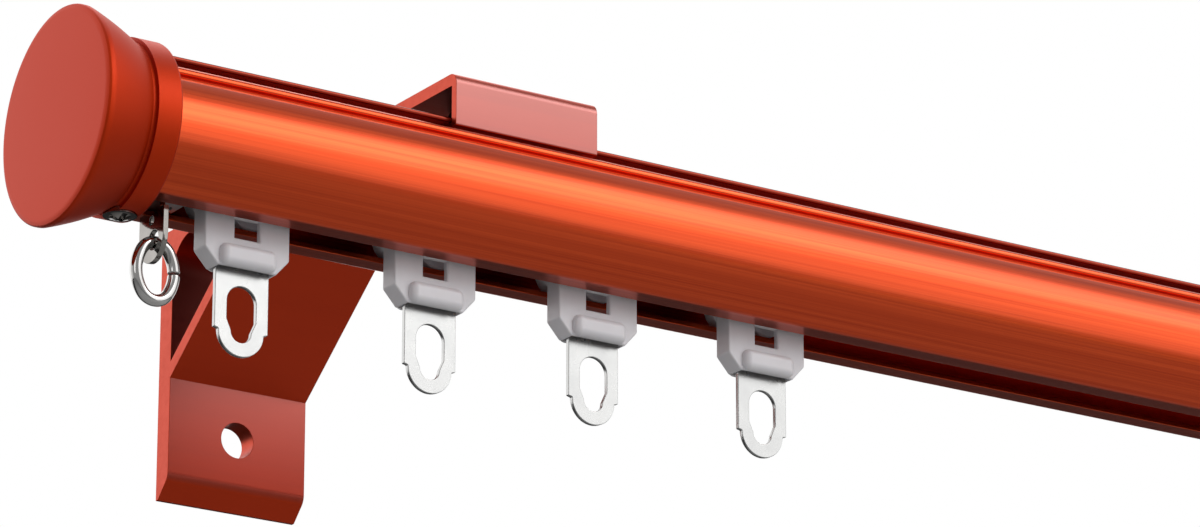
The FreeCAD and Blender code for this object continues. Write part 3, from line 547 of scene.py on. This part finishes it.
def cap_profile():
    """The end cap's half section from its mouth to its face, with its edges broken."""
    flare = arc_through((RIM_WIDTH - CAP_LENGTH, FACE_RADIUS),
                        (-COLLAR_LENGTH - NECK_WIDTH, NECK_RADIUS), FLARE_RADIUS, 18)
    flare = list(reversed(flare))
    rim = arc(RIM_ROUND - CAP_LENGTH, FACE_RADIUS - RIM_ROUND, RIM_ROUND, 90, 180, 8)
    line = [(0.0, 0.0)]
    line += arc(-COLLAR_ROUND, COLLAR_RADIUS - COLLAR_ROUND, COLLAR_ROUND, 0, 90, 8)
    line += [(-COLLAR_LENGTH, COLLAR_RADIUS), (-COLLAR_LENGTH, NECK_RADIUS)] + flare + rim
    line += [(-CAP_LENGTH - FACE_BEVEL_DROP, FACE_RADIUS - RIM_ROUND - FACE_BEVEL),
             (-CAP_LENGTH - FACE_BEVEL_DROP, 0.0)]
    return line


def block(low, high):
    """A plain block between two corners."""
    made = bmesh.new()
    bmesh.ops.create_cube(made, size=1.0)
    size = [b - a for a, b in zip(low, high)]
    middle = [(a + b) / 2 for a, b in zip(low, high)]
    bmesh.ops.transform(made, matrix=Matrix.LocRotScale(middle, None, size), verts=made.verts)
    return built("block", made)


def plain_finish(name, tones, roughness, sizes, relief, **values):
    """A finish with patches in its tone and roughness and a fine grain: two colours, two
    roughnesses, the frequency of the patches and of the grain, the grain's strength and depth, and
    the shader's other sockets."""
    material, tree, shader = new_material(name, **values)
    surface = placed_group(tree, uneven_surface, Patch_Size=sizes[0], Grain_Size=sizes[1])
    tree.links.new(blended(tree, surface["Patches"], *tones), shader.inputs["Base Color"])
    tree.links.new(ranged(tree, surface["Patches"], *roughness), shader.inputs["Roughness"])
    bumped(tree, shader, surface["Grain"], *relief)
    return material


cap_finish = plain_finish("turned_anodised", CAP_TONES, *CAP_LOOK, Metallic=1.0, Coat_Weight=0.1,
                          Coat_Roughness=0.35)
for side, end in (("left", rail_low.x), ("right", rail_high.x)):
    low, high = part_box(f"{side}_finial")
    level = (low.z + high.z) / 2
    outward = -1 if side == "left" else 1
    turn = Matrix.Translation((end, AXIS_Y, level))
    if outward > 0:
        turn = turn @ Matrix.Rotation(math.pi, 4, "Z")
    cap = lathe(f"{side}_end_cap", cap_profile(), CAP_SIDES, turn)
    inner_end = end + outward * SOCKET_DEPTH
    near, far = sorted((end - outward * MM, inner_end))
    combined(cap, block((near, AXIS_Y - SOCKET_HALF, AXIS_Z - BASE_DROP + LIP_THICK),
                        (far, AXIS_Y + SOCKET_HALF, AXIS_Z + WEB_LEVEL)), "DIFFERENCE")
    seat_x = end + outward * SEAT_X
    drilled(cap, SEAT_RADIUS, (seat_x, AXIS_Y, level - 2 * SEAT_LEVEL),
            (seat_x, AXIS_Y, level - SEAT_LEVEL))
    fitted(settled(cap, angle=FINE_ANGLE), "track", "satin_anodised", cap_finish, f"{side}_finial")

# The end stops: plated steel. A block jams in the channel, a stamped tag is pinned in it and hangs
# out of the slot, and a split ring of round wire hangs in the tag's large eye. A domed,
# cross-recessed screw from below holds the end cap to the block.
TAG_THICK, TAG_TOP, TAG_SHOULDER, TAG_STRAIGHT = 1.0 * MM, 1.0 * MM, 14.1 * MM, 19.2 * MM
TAG_NECK_HALF, TAG_HALF, STAMPED_EDGE = 3.0 * MM, 4.3 * MM, 0.13 * MM
EYE_LEVEL, EYE_Y, EYE_RADIUS = 19.6 * MM, 0.8 * MM, 1.8 * MM
SMALL_EYE_LEVEL, SMALL_EYE_RADIUS = 15.9 * MM, 0.85 * MM
RING_WIRE, RING_HALF, RING_HEIGHT = 1.1 * MM, 3.65 * MM, 10.4 * MM
RING_END_RADIUS, RING_REST, RING_SPLIT = 3.0 * MM, 0.3 * MM, 0.35 * MM
RING_SIDES, RING_EDGE = 32, 0.2 * MM
DOME_RADIUS, DOME_HEIGHT, DOME_SHANK, HEAD_RIM = 2.95 * MM, 2.4 * MM, 9.4 * MM, 1.0 * MM
SHANK_RADIUS, HEAD_EDGE, SCREW_SIDES = 1.95 * MM, 0.13 * MM, 64
RECESS_WIDTH, RECESS_LENGTH, RECESS_DEPTH = 1.0 * MM, 4.2 * MM, 1.3 * MM
BRIGHT_TONES = (0.40, 0.39, 0.38), (0.60, 0.59, 0.58)
DARK_TONES = (0.16, 0.15, 0.14), (0.34, 0.32, 0.30)
NICKEL_LOOK = (0.05, 0.14), (260.0, 5200.0), (0.06, RELIEF_DEPTH / 2)
ZINC_TONES = (0.42, 0.43, 0.45), (0.66, 0.66, 0.66)
ZINC_LOOK = (0.22, 0.40), (160.0, 3400.0), (0.12, RELIEF_DEPTH)


def bent_wire_tree():
    """Nodes that sweep a round wire along a path."""
    tree = bpy.data.node_groups.new("bent_wire", "GeometryNodeTree")
    add_socket(tree, "Path", "Geometry")
    add_socket(tree, "Wire Radius", "Float")
    add_socket(tree, "Sides", "Int")
    add_socket(tree, "Finish", "Material")
    add_socket(tree, "Wire", "Geometry", "OUTPUT")
    given = tree.nodes.new("NodeGroupInput").outputs
    curve = chain(tree, "GeometryNodeMeshToCurve", Mesh=given["Path"])
    round_wire = chain(tree, "GeometryNodeCurvePrimitiveCircle", Resolution=given["Sides"],
                       Radius=given["Wire Radius"])
    swept = chain(tree, "GeometryNodeCurveToMesh", Curve=curve.outputs[0],
                  Profile_Curve=round_wire.outputs[0], Fill_Caps=True)
    real = chain(tree, "GeometryNodeRealizeInstances", Geometry=swept.outputs[0])
    painted = chain(tree, "GeometryNodeSetMaterial", Geometry=real.outputs[0],
                    Material=given["Finish"])
    tree.links.new(painted.outputs[0], tree.nodes.new("NodeGroupOutput").inputs[0])
    return tree


def ring_path():
    """The split ring's path from one side of its split to the other: an oval of four arcs, as
    (across, up) from the middle of the oval."""
    rise = RING_HEIGHT / 2 - RING_END_RADIUS
    side = (RING_HALF**2 + rise**2 - RING_END_RADIUS**2) / (RING_HALF - RING_END_RADIUS) / 2
    reach = side - RING_HALF
    lean = math.degrees(math.atan2(rise, reach))
    split = math.degrees(math.asin(RING_SPLIT / 2 / side))
    path = arc(-reach, 0, side, split, lean, 12)
    path += arc(0, rise, RING_END_RADIUS, lean, 180 - lean, 28)[1:]
    path += arc(reach, 0, side, 180 - lean, 180 + lean, 24)[1:]
    path += arc(0, -rise, RING_END_RADIUS, 180 + lean, 360 - lean, 28)[1:]
    path += arc(-reach, 0, side, 360 - lean, 360 - split, 12)[1:]
    return path


def screw(name, seat, up, head_radius, head_height, shank):
    """A domed, cross-recessed screw on its seat, with its head up or down."""
    line = [(-shank, 0.0), (-shank, SHANK_RADIUS - RECESS_WIDTH / 2),
            (RECESS_WIDTH / 2 - shank, SHANK_RADIUS), (0.0, SHANK_RADIUS),
            (0.0, head_radius - HEAD_EDGE), (HEAD_EDGE, head_radius)]
    crown = head_height - HEAD_RIM
    dome_radius = (head_radius**2 / crown + crown) / 2
    line += reversed(arc_through((head_height, 0.0), (HEAD_RIM, head_radius), dome_radius, 14))
    turn = Matrix.Translation(seat) @ Matrix.Rotation(math.radians(-90 if up else 90), 4, "Y")
    head = lathe(name, line, SCREW_SIDES, turn)
    way = 1 if up else -1
    for long, wide in ((RECESS_LENGTH, RECESS_WIDTH), (RECESS_WIDTH, RECESS_LENGTH)):
        low, high = sorted((seat[2] + way * (head_height - RECESS_DEPTH),
                            seat[2] + way * head_height * 2))
        combined(head, block((seat[0] - long / 2, seat[1] - wide / 2, low),
                             (seat[0] + long / 2, seat[1] + wide / 2, high)), "DIFFERENCE")
    return settled(head)


def nickel_plate(name, tones):
    """Polished nickel-chrome plate with a little haze, between two greys."""
    return plain_finish(name, tones, *NICKEL_LOOK, Metallic=1.0)


bent_wire = bent_wire_tree()
chrome = nickel_plate("bright_nickel", BRIGHT_TONES)
dark_nickel = nickel_plate("dark_nickel", DARK_TONES)
zinc = plain_finish("zinc_plate", ZINC_TONES, *ZINC_LOOK, Metallic=1.0)
for side, inward in (("left", 1), ("right", -1)):
    low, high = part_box(f"{side}_stop_tag")
    tag_x, eye_y = (low.x + high.x) / 2, AXIS_Y - inward * EYE_Y
    tag_side = [(-TAG_NECK_HALF, -TAG_TOP), (-TAG_NECK_HALF, -TAG_SHOULDER),
                (-TAG_HALF, -TAG_SHOULDER)]
    tag_loops = [tag_side + arc(0, -TAG_STRAIGHT, TAG_HALF, 180, 360, 40)
                 + [(-x, y) for x, y in reversed(tag_side)],
                 arc(-inward * EYE_Y, -EYE_LEVEL, EYE_RADIUS, 0, 360, 40)[1:],
                 arc(0, -SMALL_EYE_LEVEL, SMALL_EYE_RADIUS, 0, 360, 24)[1:]]
    tag = use_tree(closed_loops(f"{side}_tag", tag_loops), pulled_section, Length=TAG_THICK,
                   Turn=ALONG_X, Place=(tag_x - TAG_THICK / 2, AXIS_Y, AXIS_Z), Finish=dark_nickel)
    fitted(settled(tag, STAMPED_EDGE), "track", "chrome_steel", dark_nickel, f"{side}_stop_tag")
    ring_top = AXIS_Z - EYE_LEVEL - EYE_RADIUS + RING_REST + RING_WIRE
    oval = [(tag_x + inward * x, eye_y, ring_top - RING_HEIGHT / 2 + z) for x, z in ring_path()]
    ring = new_object(f"{side}_ring_wire", oval, [(i, i + 1) for i in range(len(oval) - 1)])
    use_tree(ring, bent_wire, **{"Wire Radius": RING_WIRE, "Sides": RING_SIDES, "Finish": chrome})
    fitted(settled(ring, RING_EDGE), f"{side}_ring", "chrome_steel", chrome, f"{side}_stop_ring")
    low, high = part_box(f"{side}_finial_screw")
    seat = ((low.x + high.x) / 2, AXIS_Y, low.z + DOME_HEIGHT)
    cap_screw = screw(f"{side}_cap_screw", seat, False, DOME_RADIUS, DOME_HEIGHT, DOME_SHANK)
    fitted(cap_screw, "track", "chrome_steel", dark_nickel, f"{side}_finial_screw")
    for part in ("stop_block", "stop_screw", "stop_pin"):
        coated(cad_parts[f"{side}_{part}"], zinc)

# The clamps: a strip of steel folded under each bracket's arm, which hooks the rail's flange from
# behind, coloured near black as painted shade for the dark hollow under the arm, and a zinc-plated,
# cross-recessed screw that draws it up.
CLAMP_THICK, CLAMP_FOOT, CLAMP_BEND = 1.5 * MM, 4.0 * MM, 1.2 * MM
CLAMP_SLACK, CLAMP_FIT = 0.2 * MM, 0.05 * MM
ARM_GAP, CLAMP_EDGE = 5.85 * MM, 0.15 * MM
PAN_RADIUS, PAN_HEIGHT, PAN_SHANK = 3.5 * MM, 2.2 * MM, 7.65 * MM
# Painted shade: near-black tones for the clamp strip, for the dark hollow under the arm.
CLAMP_SHADE_TONES = (0.022, 0.020, 0.020), (0.050, 0.046, 0.045)


def clamp_loop():
    """The clamp strip's section, as (across, up) from the rail's axis."""
    arm = FLANGE_LEVEL + ARM_GAP
    rear = FLANGE_HALF + CLAMP_SLACK + CLAMP_THICK
    hook = FLANGE_LEVEL - FLANGE_THICK - CLAMP_FIT
    lip = NECK_HALF + CLAMP_SLACK + HOOK_CLEARANCE
    bend = CLAMP_BEND
    loop = [(-CLAMP_FOOT, FLANGE_LEVEL), (CLAMP_THICK - CLAMP_FOOT, FLANGE_LEVEL),
            (CLAMP_THICK - CLAMP_FOOT, arm - CLAMP_THICK), (rear - CLAMP_THICK, arm - CLAMP_THICK),
            (rear - CLAMP_THICK, hook), (lip, hook), (lip, hook - CLAMP_THICK)]
    loop += arc(rear - bend, hook - CLAMP_THICK + bend, bend, -90, 0, 6)
    loop += arc(rear - bend, arm - bend, bend, 0, 90, 6)
    loop += arc(bend - CLAMP_FOOT, arm - bend, bend, 90, 180, 6)
    return loop


# Painted shade: the clamp strip is coloured near black to stand for the dark hollow under the arm.
shade_black_steel = nickel_plate("shade_black_steel", CLAMP_SHADE_TONES)
for side in ("left", "right"):
    low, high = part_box(f"{side}_clamp_plate")
    strip = use_tree(closed_loops(f"{side}_clamp_strip", [clamp_loop()]), pulled_section,
                     Length=high.x - low.x, Turn=ALONG_X, Place=(low.x, AXIS_Y, AXIS_Z),
                     Finish=shade_black_steel)
    fitted(settled(strip, CLAMP_EDGE), "track", "zinc_steel", shade_black_steel, f"{side}_clamp_plate")
    low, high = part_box(f"{side}_clamp_screw")
    seat = ((low.x + high.x) / 2, CLAMP_HOLE_Y, high.z - PAN_HEIGHT)
    clamp_screw = screw(f"{side}_clamp_bolt", seat, True, PAN_RADIUS, PAN_HEIGHT, PAN_SHANK)
    fitted(clamp_screw, "track", "zinc_steel", zinc, f"{side}_clamp_screw")

# The runners: each a white nylon carriage whose spine passes through the slot, on two steel axles
# with a pair of nylon wheels each, and a stamped stainless eye tab that swings on a pin in its
# pocket.
RUNNERS = 4
SPINE_HALF, BEVEL_RISE, BEVEL_RUN = 2.1 * MM, 2.9 * MM, 2.6 * MM
WINDOW_HALF, WINDOW_TOP, WINDOW_BOTTOM = 2.5 * MM, 0.7 * MM, 3.3 * MM
CORE_WALL, CORE_MARGIN, CORE_RISE = 1.2 * MM, 2.8 * MM, 1.8 * MM
BAR_HALF, BAR_TOP, BAR_BOTTOM, BAR_ROUND = 5.5 * MM, 4.4 * MM, 8.4 * MM, 1.35 * MM
POCKET_HALF, POCKET_TOP = 1.75 * MM, 4.6 * MM
CARRIAGE_EDGE, BAR_STEPS = 0.3 * MM, 8
TAB_THICK, TAB_SHOULDER, TAB_STEP, TAB_LENGTH = 0.9 * MM, 12.8 * MM, 0.8 * MM, 17.5 * MM
TAB_EYE_HALF, TAB_EYE_TOP, TAB_EYE_STRAIGHT = 2.9 * MM, 4.8 * MM, 11.0 * MM
TAB_EYE_BOTTOM, TAB_EYE_TIP = 15.0 * MM, 2.0 * MM
HINGE_RADIUS, KNUCKLE_RADIUS, KNUCKLE_SIDES = 0.75 * MM, 1.5 * MM, 48
NYLON_TONES = (0.67, 0.64, 0.66), (0.77, 0.75, 0.77)
NYLON_LOOK = (0.28, 0.45), (140.0, 2400.0), (0.18, 0.05 * MM)
NYLON_DEPTH, NYLON_SPREAD = 1.5 * MM, (1.0, 0.9, 0.8)
STEEL_TONES = (0.40, 0.40, 0.40), (0.49, 0.49, 0.48)
STEEL_LOOK = (0.18, 0.34), (220.0, 3600.0), (0.15, RELIEF_DEPTH)


def mouthed_block(middle, half, low, high, mouth, end):
    """A block from its mouth to its end, flared at the mouth so that the hole it cuts has a broken
    edge."""
    outward = -1 if mouth < end else 1
    vertices, faces = [], []
    for y, grow in ((mouth + outward * MM, CARRIAGE_EDGE + MM),
                    (mouth - outward * CARRIAGE_EDGE, 0.0), (end, 0.0)):
        left, right = middle - half - grow, middle + half + grow
        bottom, top = low - grow, high + grow
        ring = [(left, y, bottom), (right, y, bottom), (right, y, top), (left, y, top)]
        vertices += ring[::-outward]
    for start in (0, 4):
        faces += [(start + i, start + i + 4, start + (i + 1) % 4 + 4, start + (i + 1) % 4)
                  for i in range(4)]
    return new_object("mouthed_block", vertices, faces=faces + [(0, 1, 2, 3), (11, 10, 9, 8)])


def carriage_body(low, high):
    """A carriage in its box: a spine with bevelled lower corners and a window, cored out behind it,
    a rounded bar on each side, and a pocket below for the tab."""
    middle, half, foot = (low.x + high.x) / 2, (high.x - low.x) / 2, low.z
    side = [(-half, high.z), (-half, foot + BEVEL_RISE), (BEVEL_RUN - half, foot),
            (half - BEVEL_RUN, foot), (half, foot + BEVEL_RISE), (half, high.z)]
    window_low, window_high = rail_low.z - WINDOW_BOTTOM, rail_low.z + WINDOW_TOP
    spine = use_tree(closed_loops("moulding", [side]), pulled_section, Length=2 * SPINE_HALF,
                     Turn=ALONG_Y, Place=(middle, AXIS_Y + SPINE_HALF, 0.0), Finish=nylon)
    front, back = AXIS_Y - SPINE_HALF, AXIS_Y + SPINE_HALF
    combined(settled(spine, CARRIAGE_EDGE),
             mouthed_block(middle, WINDOW_HALF + CORE_MARGIN, window_low, window_high + CORE_RISE,
                           back, front + CORE_WALL), "DIFFERENCE")
    combined(spine, mouthed_block(middle, WINDOW_HALF, window_low + CARRIAGE_EDGE, window_high,
                                  front, back), "DIFFERENCE")
    bar = block((middle - BAR_HALF, low.y, rail_low.z - BAR_BOTTOM),
                (middle + BAR_HALF, high.y, rail_low.z - BAR_TOP))
    combined(spine, settled(bar, BAR_ROUND, BAR_STEPS), "UNION")
    pocket = block((middle - BAR_HALF, AXIS_Y - POCKET_HALF, foot - BAR_ROUND),
                   (middle + BAR_HALF, AXIS_Y + POCKET_HALF, rail_low.z - POCKET_TOP))
    return settled(combined(spine, pocket, "DIFFERENCE"))


def tab_loops():
    """The eye tab's outline and its eye, as (across, up) from the hinge."""
    foot_radius = TAB_HALF - TAB_STEP
    foot = foot_radius - TAB_LENGTH
    outer = [(-TAB_HALF, -HINGE_RADIUS), (-TAB_HALF, -TAB_SHOULDER)]
    outer += arc(0, foot, foot_radius, 180, 360, 48)
    outer += [(TAB_HALF, -TAB_SHOULDER), (TAB_HALF, -HINGE_RADIUS)]
    eye = arc(0, -TAB_EYE_TOP - TAB_EYE_HALF, TAB_EYE_HALF, 0, 180, 32)
    eye += [(-TAB_EYE_HALF, -TAB_EYE_STRAIGHT)]
    eye += arc(0, TAB_EYE_TIP - TAB_EYE_BOTTOM, TAB_EYE_TIP, 180, 360, 24)
    eye += [(TAB_EYE_HALF, -TAB_EYE_STRAIGHT)]
    return [outer, eye]


def eye_tab(hinge):
    """A tab that hangs from its knuckle round the hinge pin."""
    tab = use_tree(closed_loops("hook_eye", tab_loops()), pulled_section, Length=TAB_THICK,
                   Turn=ALONG_Y, Place=(hinge.x, AXIS_Y + TAB_THICK / 2, hinge.z), Finish=steel)
    across = Vector((TAB_HALF, 0, 0))
    knuckle = rod("knuckle", KNUCKLE_RADIUS, hinge - across, hinge + across, KNUCKLE_SIDES)
    combined(settled(tab, STAMPED_EDGE), knuckle, "UNION")
    return settled(drilled(tab, HINGE_RADIUS, hinge - 2 * across, hinge + 2 * across))


def moved_copy(obj, name, move):
    """A copy of a piece's mesh, moved along X."""
    copy = new_object(name, [])
    copy.data = obj.data.copy()
    copy.data.transform(Matrix.Translation((move, 0, 0)))
    return copy


nylon = plain_finish("white_nylon", NYLON_TONES, *NYLON_LOOK, IOR=1.53, Subsurface_Weight=0.25,
                     Subsurface_Scale=NYLON_DEPTH, Subsurface_Radius=NYLON_SPREAD)
steel = plain_finish("stainless", STEEL_TONES, *STEEL_LOOK, Metallic=1.0)
first_low, first_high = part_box("runner_1_carriage")
tab_low, tab_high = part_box("runner_1_eye_tab")
TAB_HALF = (tab_high.x - tab_low.x) / 2
moulding = carriage_body(first_low, first_high)
hook_eye = eye_tab(Vector(((tab_low.x + tab_high.x) / 2, AXIS_Y, tab_high.z - KNUCKLE_RADIUS)))
for number in range(1, RUNNERS + 1):
    runner = f"runner_{number}"
    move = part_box(f"{runner}_carriage")[0].x - first_low.x
    fitted(moved_copy(moulding, f"{runner}_moulding", move), runner, "white_nylon", nylon,
           f"{runner}_carriage")
    fitted(moved_copy(hook_eye, f"{runner}_hook_eye", move), f"{runner}_tab", "stainless_steel",
           steel, f"{runner}_eye_tab")
    for part, finish in (("left_wheels", nylon), ("right_wheels", nylon), ("left_axle", zinc),
                         ("right_axle", zinc), ("hinge_pin", zinc)):
        coated(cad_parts[f"{runner}_{part}"], finish)
for pattern in (moulding, hook_eye):
    bpy.data.objects.remove(pattern)

# The studio: a plain floor well below the track and a white surround that dims towards the front.
# Two soft lamps high at the right draw the bright band along the rail, and three weaker ones light
# the edges at the left, the end cap's face and the top. soft_lamp explains each lamp's numbers.
FLOOR_LEVEL, FLOOR_HALF, FADE_START, FADE_END = -0.45, 6.0, 0.8, 3.0
SHADE_START, SHADE_END, SHADE_TONE = 0.1, 0.6, (0.06, 0.06, 0.06)
MIRRORED_TONES = (0.50, 0.50, 0.49), (0.54, 0.54, 0.53)
SEEN_TONES = (0.90, 0.90, 0.89), (0.94, 0.94, 0.93)
FLOOR_ROUGHNESS, FLOOR_GLOSS = 0.9, 0.1
SURROUND_LOW, SURROUND_START, SURROUND_END = 0.42, -0.15, 0.35
AMBIENT, AMBIENT_TONE, WHITE = 0.42, (0.95, 0.97, 1.0, 1.0), (1.0, 1.0, 1.0, 1.0)
LAMP_AIM_X = -0.05
LAMPS = {
    "key_lamp": (34.0, 37.0, 20.0, 1.6, 1.25, 0.60, 2.6),
    "wide_lamp": (33.0, 22.0, 20.0, 1.7, 1.45, 1.80, 1.3),
    "left_lamp": (-57.0, 22.0, 0.0, 1.5, 0.5, 0.9, 1.4),
    "side_lamp": (-147.0, 19.0, 0.0, 1.5, 1.0, 1.0, 0.65),
    "back_lamp": (170.0, 60.0, 0.0, 1.5, 1.2, 0.9, 1.2),
}


def pale_floor():
    """A matt floor, paler to the camera than in the track's reflections, where it is darkest behind
    the track. It fades into the surround far away and lets a camera below it look up through it."""
    material, tree, shader = new_material(
        "pale_floor", Roughness=FLOOR_ROUGHNESS, Specular_IOR_Level=FLOOR_GLOSS)
    patches = placed_group(tree, uneven_surface, Patch_Size=2.0)["Patches"]
    spot = tree.nodes.new("ShaderNodeTexCoord").outputs["Object"]
    behind = between(tree, chain(tree, "ShaderNodeSeparateXYZ", Vector=spot).outputs["Y"],
                     SHADE_START, SHADE_END)
    mirrored = blended(tree, behind, blended(tree, patches, *MIRRORED_TONES), SHADE_TONE)
    from_camera = tree.nodes.new("ShaderNodeLightPath").outputs["Is Camera Ray"]
    tone = blended(tree, from_camera, mirrored, blended(tree, patches, *SEEN_TONES))
    tree.links.new(tone, shader.inputs["Base Color"])
    away = chain(tree, "ShaderNodeVectorMath", "LENGTH", _0=spot).outputs["Value"]
    faded = chain(tree, "ShaderNodeMath", "MULTIPLY", _1=from_camera,
                  _0=between(tree, away, FADE_START, FADE_END, easing="SMOOTHSTEP"))
    unseen = chain(tree, "ShaderNodeMath", "MAXIMUM", _0=faded.outputs[0],
                   _1=tree.nodes.new("ShaderNodeNewGeometry").outputs["Backfacing"])
    clear = tree.nodes.new("ShaderNodeBsdfTransparent")
    mixed = chain(tree, "ShaderNodeMixShader", _0=unseen.outputs[0], _1=shader.outputs[0],
                  _2=clear.outputs[0])
    tree.links.new(mixed.outputs[0], tree.nodes["Material Output"].inputs["Surface"])
    return material


corners = [(x * FLOOR_HALF, y * FLOOR_HALF, FLOOR_LEVEL)
           for x, y in ((-1, -1), (1, -1), (1, 1), (-1, 1))]
floor = new_object("floor", corners, faces=[(0, 1, 2, 3)])
floor.data.materials.append(pale_floor())


def soft_lamp(name, turn, rise, roll, away, width, height, glow):
    """A broad soft lamp that looks at the track from so many degrees to the right and up, rolled to
    lift its right end, so many metres away, and as bright as `glow` where it is mirrored."""
    data = bpy.data.lights.new(name, "AREA")
    data.shape, data.size, data.size_y = "RECTANGLE", width, height
    data.energy = glow * math.pi * width * height
    lamp = bpy.data.objects.new(name, data)
    turn, rise = math.radians(turn), math.radians(rise)
    towards = Vector((math.sin(turn) * math.cos(rise), -math.cos(turn) * math.cos(rise),
                      math.sin(rise)))
    lamp.location = Vector((LAMP_AIM_X, AXIS_Y, AXIS_Z)) + away * towards
    level = (-towards).to_track_quat("-Z", "Y")
    lamp.rotation_euler = (level @ Quaternion((0, 0, 1), math.radians(roll))).to_euler()
    lamp.visible_camera = False
    bpy.context.scene.collection.objects.link(lamp)


for name, values in LAMPS.items():
    soft_lamp(name, *values)

world = bpy.data.worlds.new("studio")
bpy.context.scene.world = world
world.use_nodes = True
sky = world.node_tree
ambient = sky.nodes["Background"]
ambient.inputs["Color"].default_value = AMBIENT_TONE
ambient.inputs["Strength"].default_value = AMBIENT
spot = sky.nodes.new("ShaderNodeTexCoord").outputs["Generated"]
dimming = between(sky, chain(sky, "ShaderNodeSeparateXYZ", Vector=spot).outputs["Y"],
                  SURROUND_START, SURROUND_END, SURROUND_LOW, "SMOOTHSTEP")
rays = sky.nodes.new("ShaderNodeLightPath").outputs
shown = chain(sky, "ShaderNodeMath", "MAXIMUM", _0=dimming, _1=rays["Is Camera Ray"])
seen = chain(sky, "ShaderNodeBackground", Color=WHITE, Strength=shown.outputs[0])
either = chain(sky, "ShaderNodeMath", "MAXIMUM", _0=rays["Is Camera Ray"], _1=rays["Is Glossy Ray"])
any_seen = chain(sky, "ShaderNodeMath", "MAXIMUM", _0=either.outputs[0],
                 _1=rays["Is Transmission Ray"])
joined = chain(sky, "ShaderNodeMixShader", _0=any_seen.outputs[0], _1=ambient.outputs[0],
               _2=seen.outputs[0])
sky.links.new(joined.outputs[0], sky.nodes["World Output"].inputs["Surface"])

# The camera stands low at the left in front of the track and looks up along it, as in the
# photograph, with a long lens.
CAMERA_PLACE = (-0.664, -0.901, -0.312)
CAMERA_TURN, CAMERA_TILT = math.radians(33.27), math.radians(18.72)
LENS, SENSOR_WIDTH, NEAREST, FARTHEST = 167.7, 36.0, 0.01, 100.0
lens = bpy.data.cameras.new("camera")
lens.lens, lens.sensor_width, lens.sensor_fit = LENS, SENSOR_WIDTH, "HORIZONTAL"
lens.clip_start, lens.clip_end = NEAREST, FARTHEST
camera = bpy.data.objects.new("camera", lens)
bpy.context.scene.collection.objects.link(camera)
looking = Vector((math.sin(CAMERA_TURN) * math.cos(CAMERA_TILT),
                  math.cos(CAMERA_TURN) * math.cos(CAMERA_TILT), math.sin(CAMERA_TILT)))
camera.location = CAMERA_PLACE
camera.rotation_euler = looking.to_track_quat("-Z", "Y").to_euler()
bpy.context.scene.camera = camera
bpy.context.scene.view_settings.view_transform = "Standard"
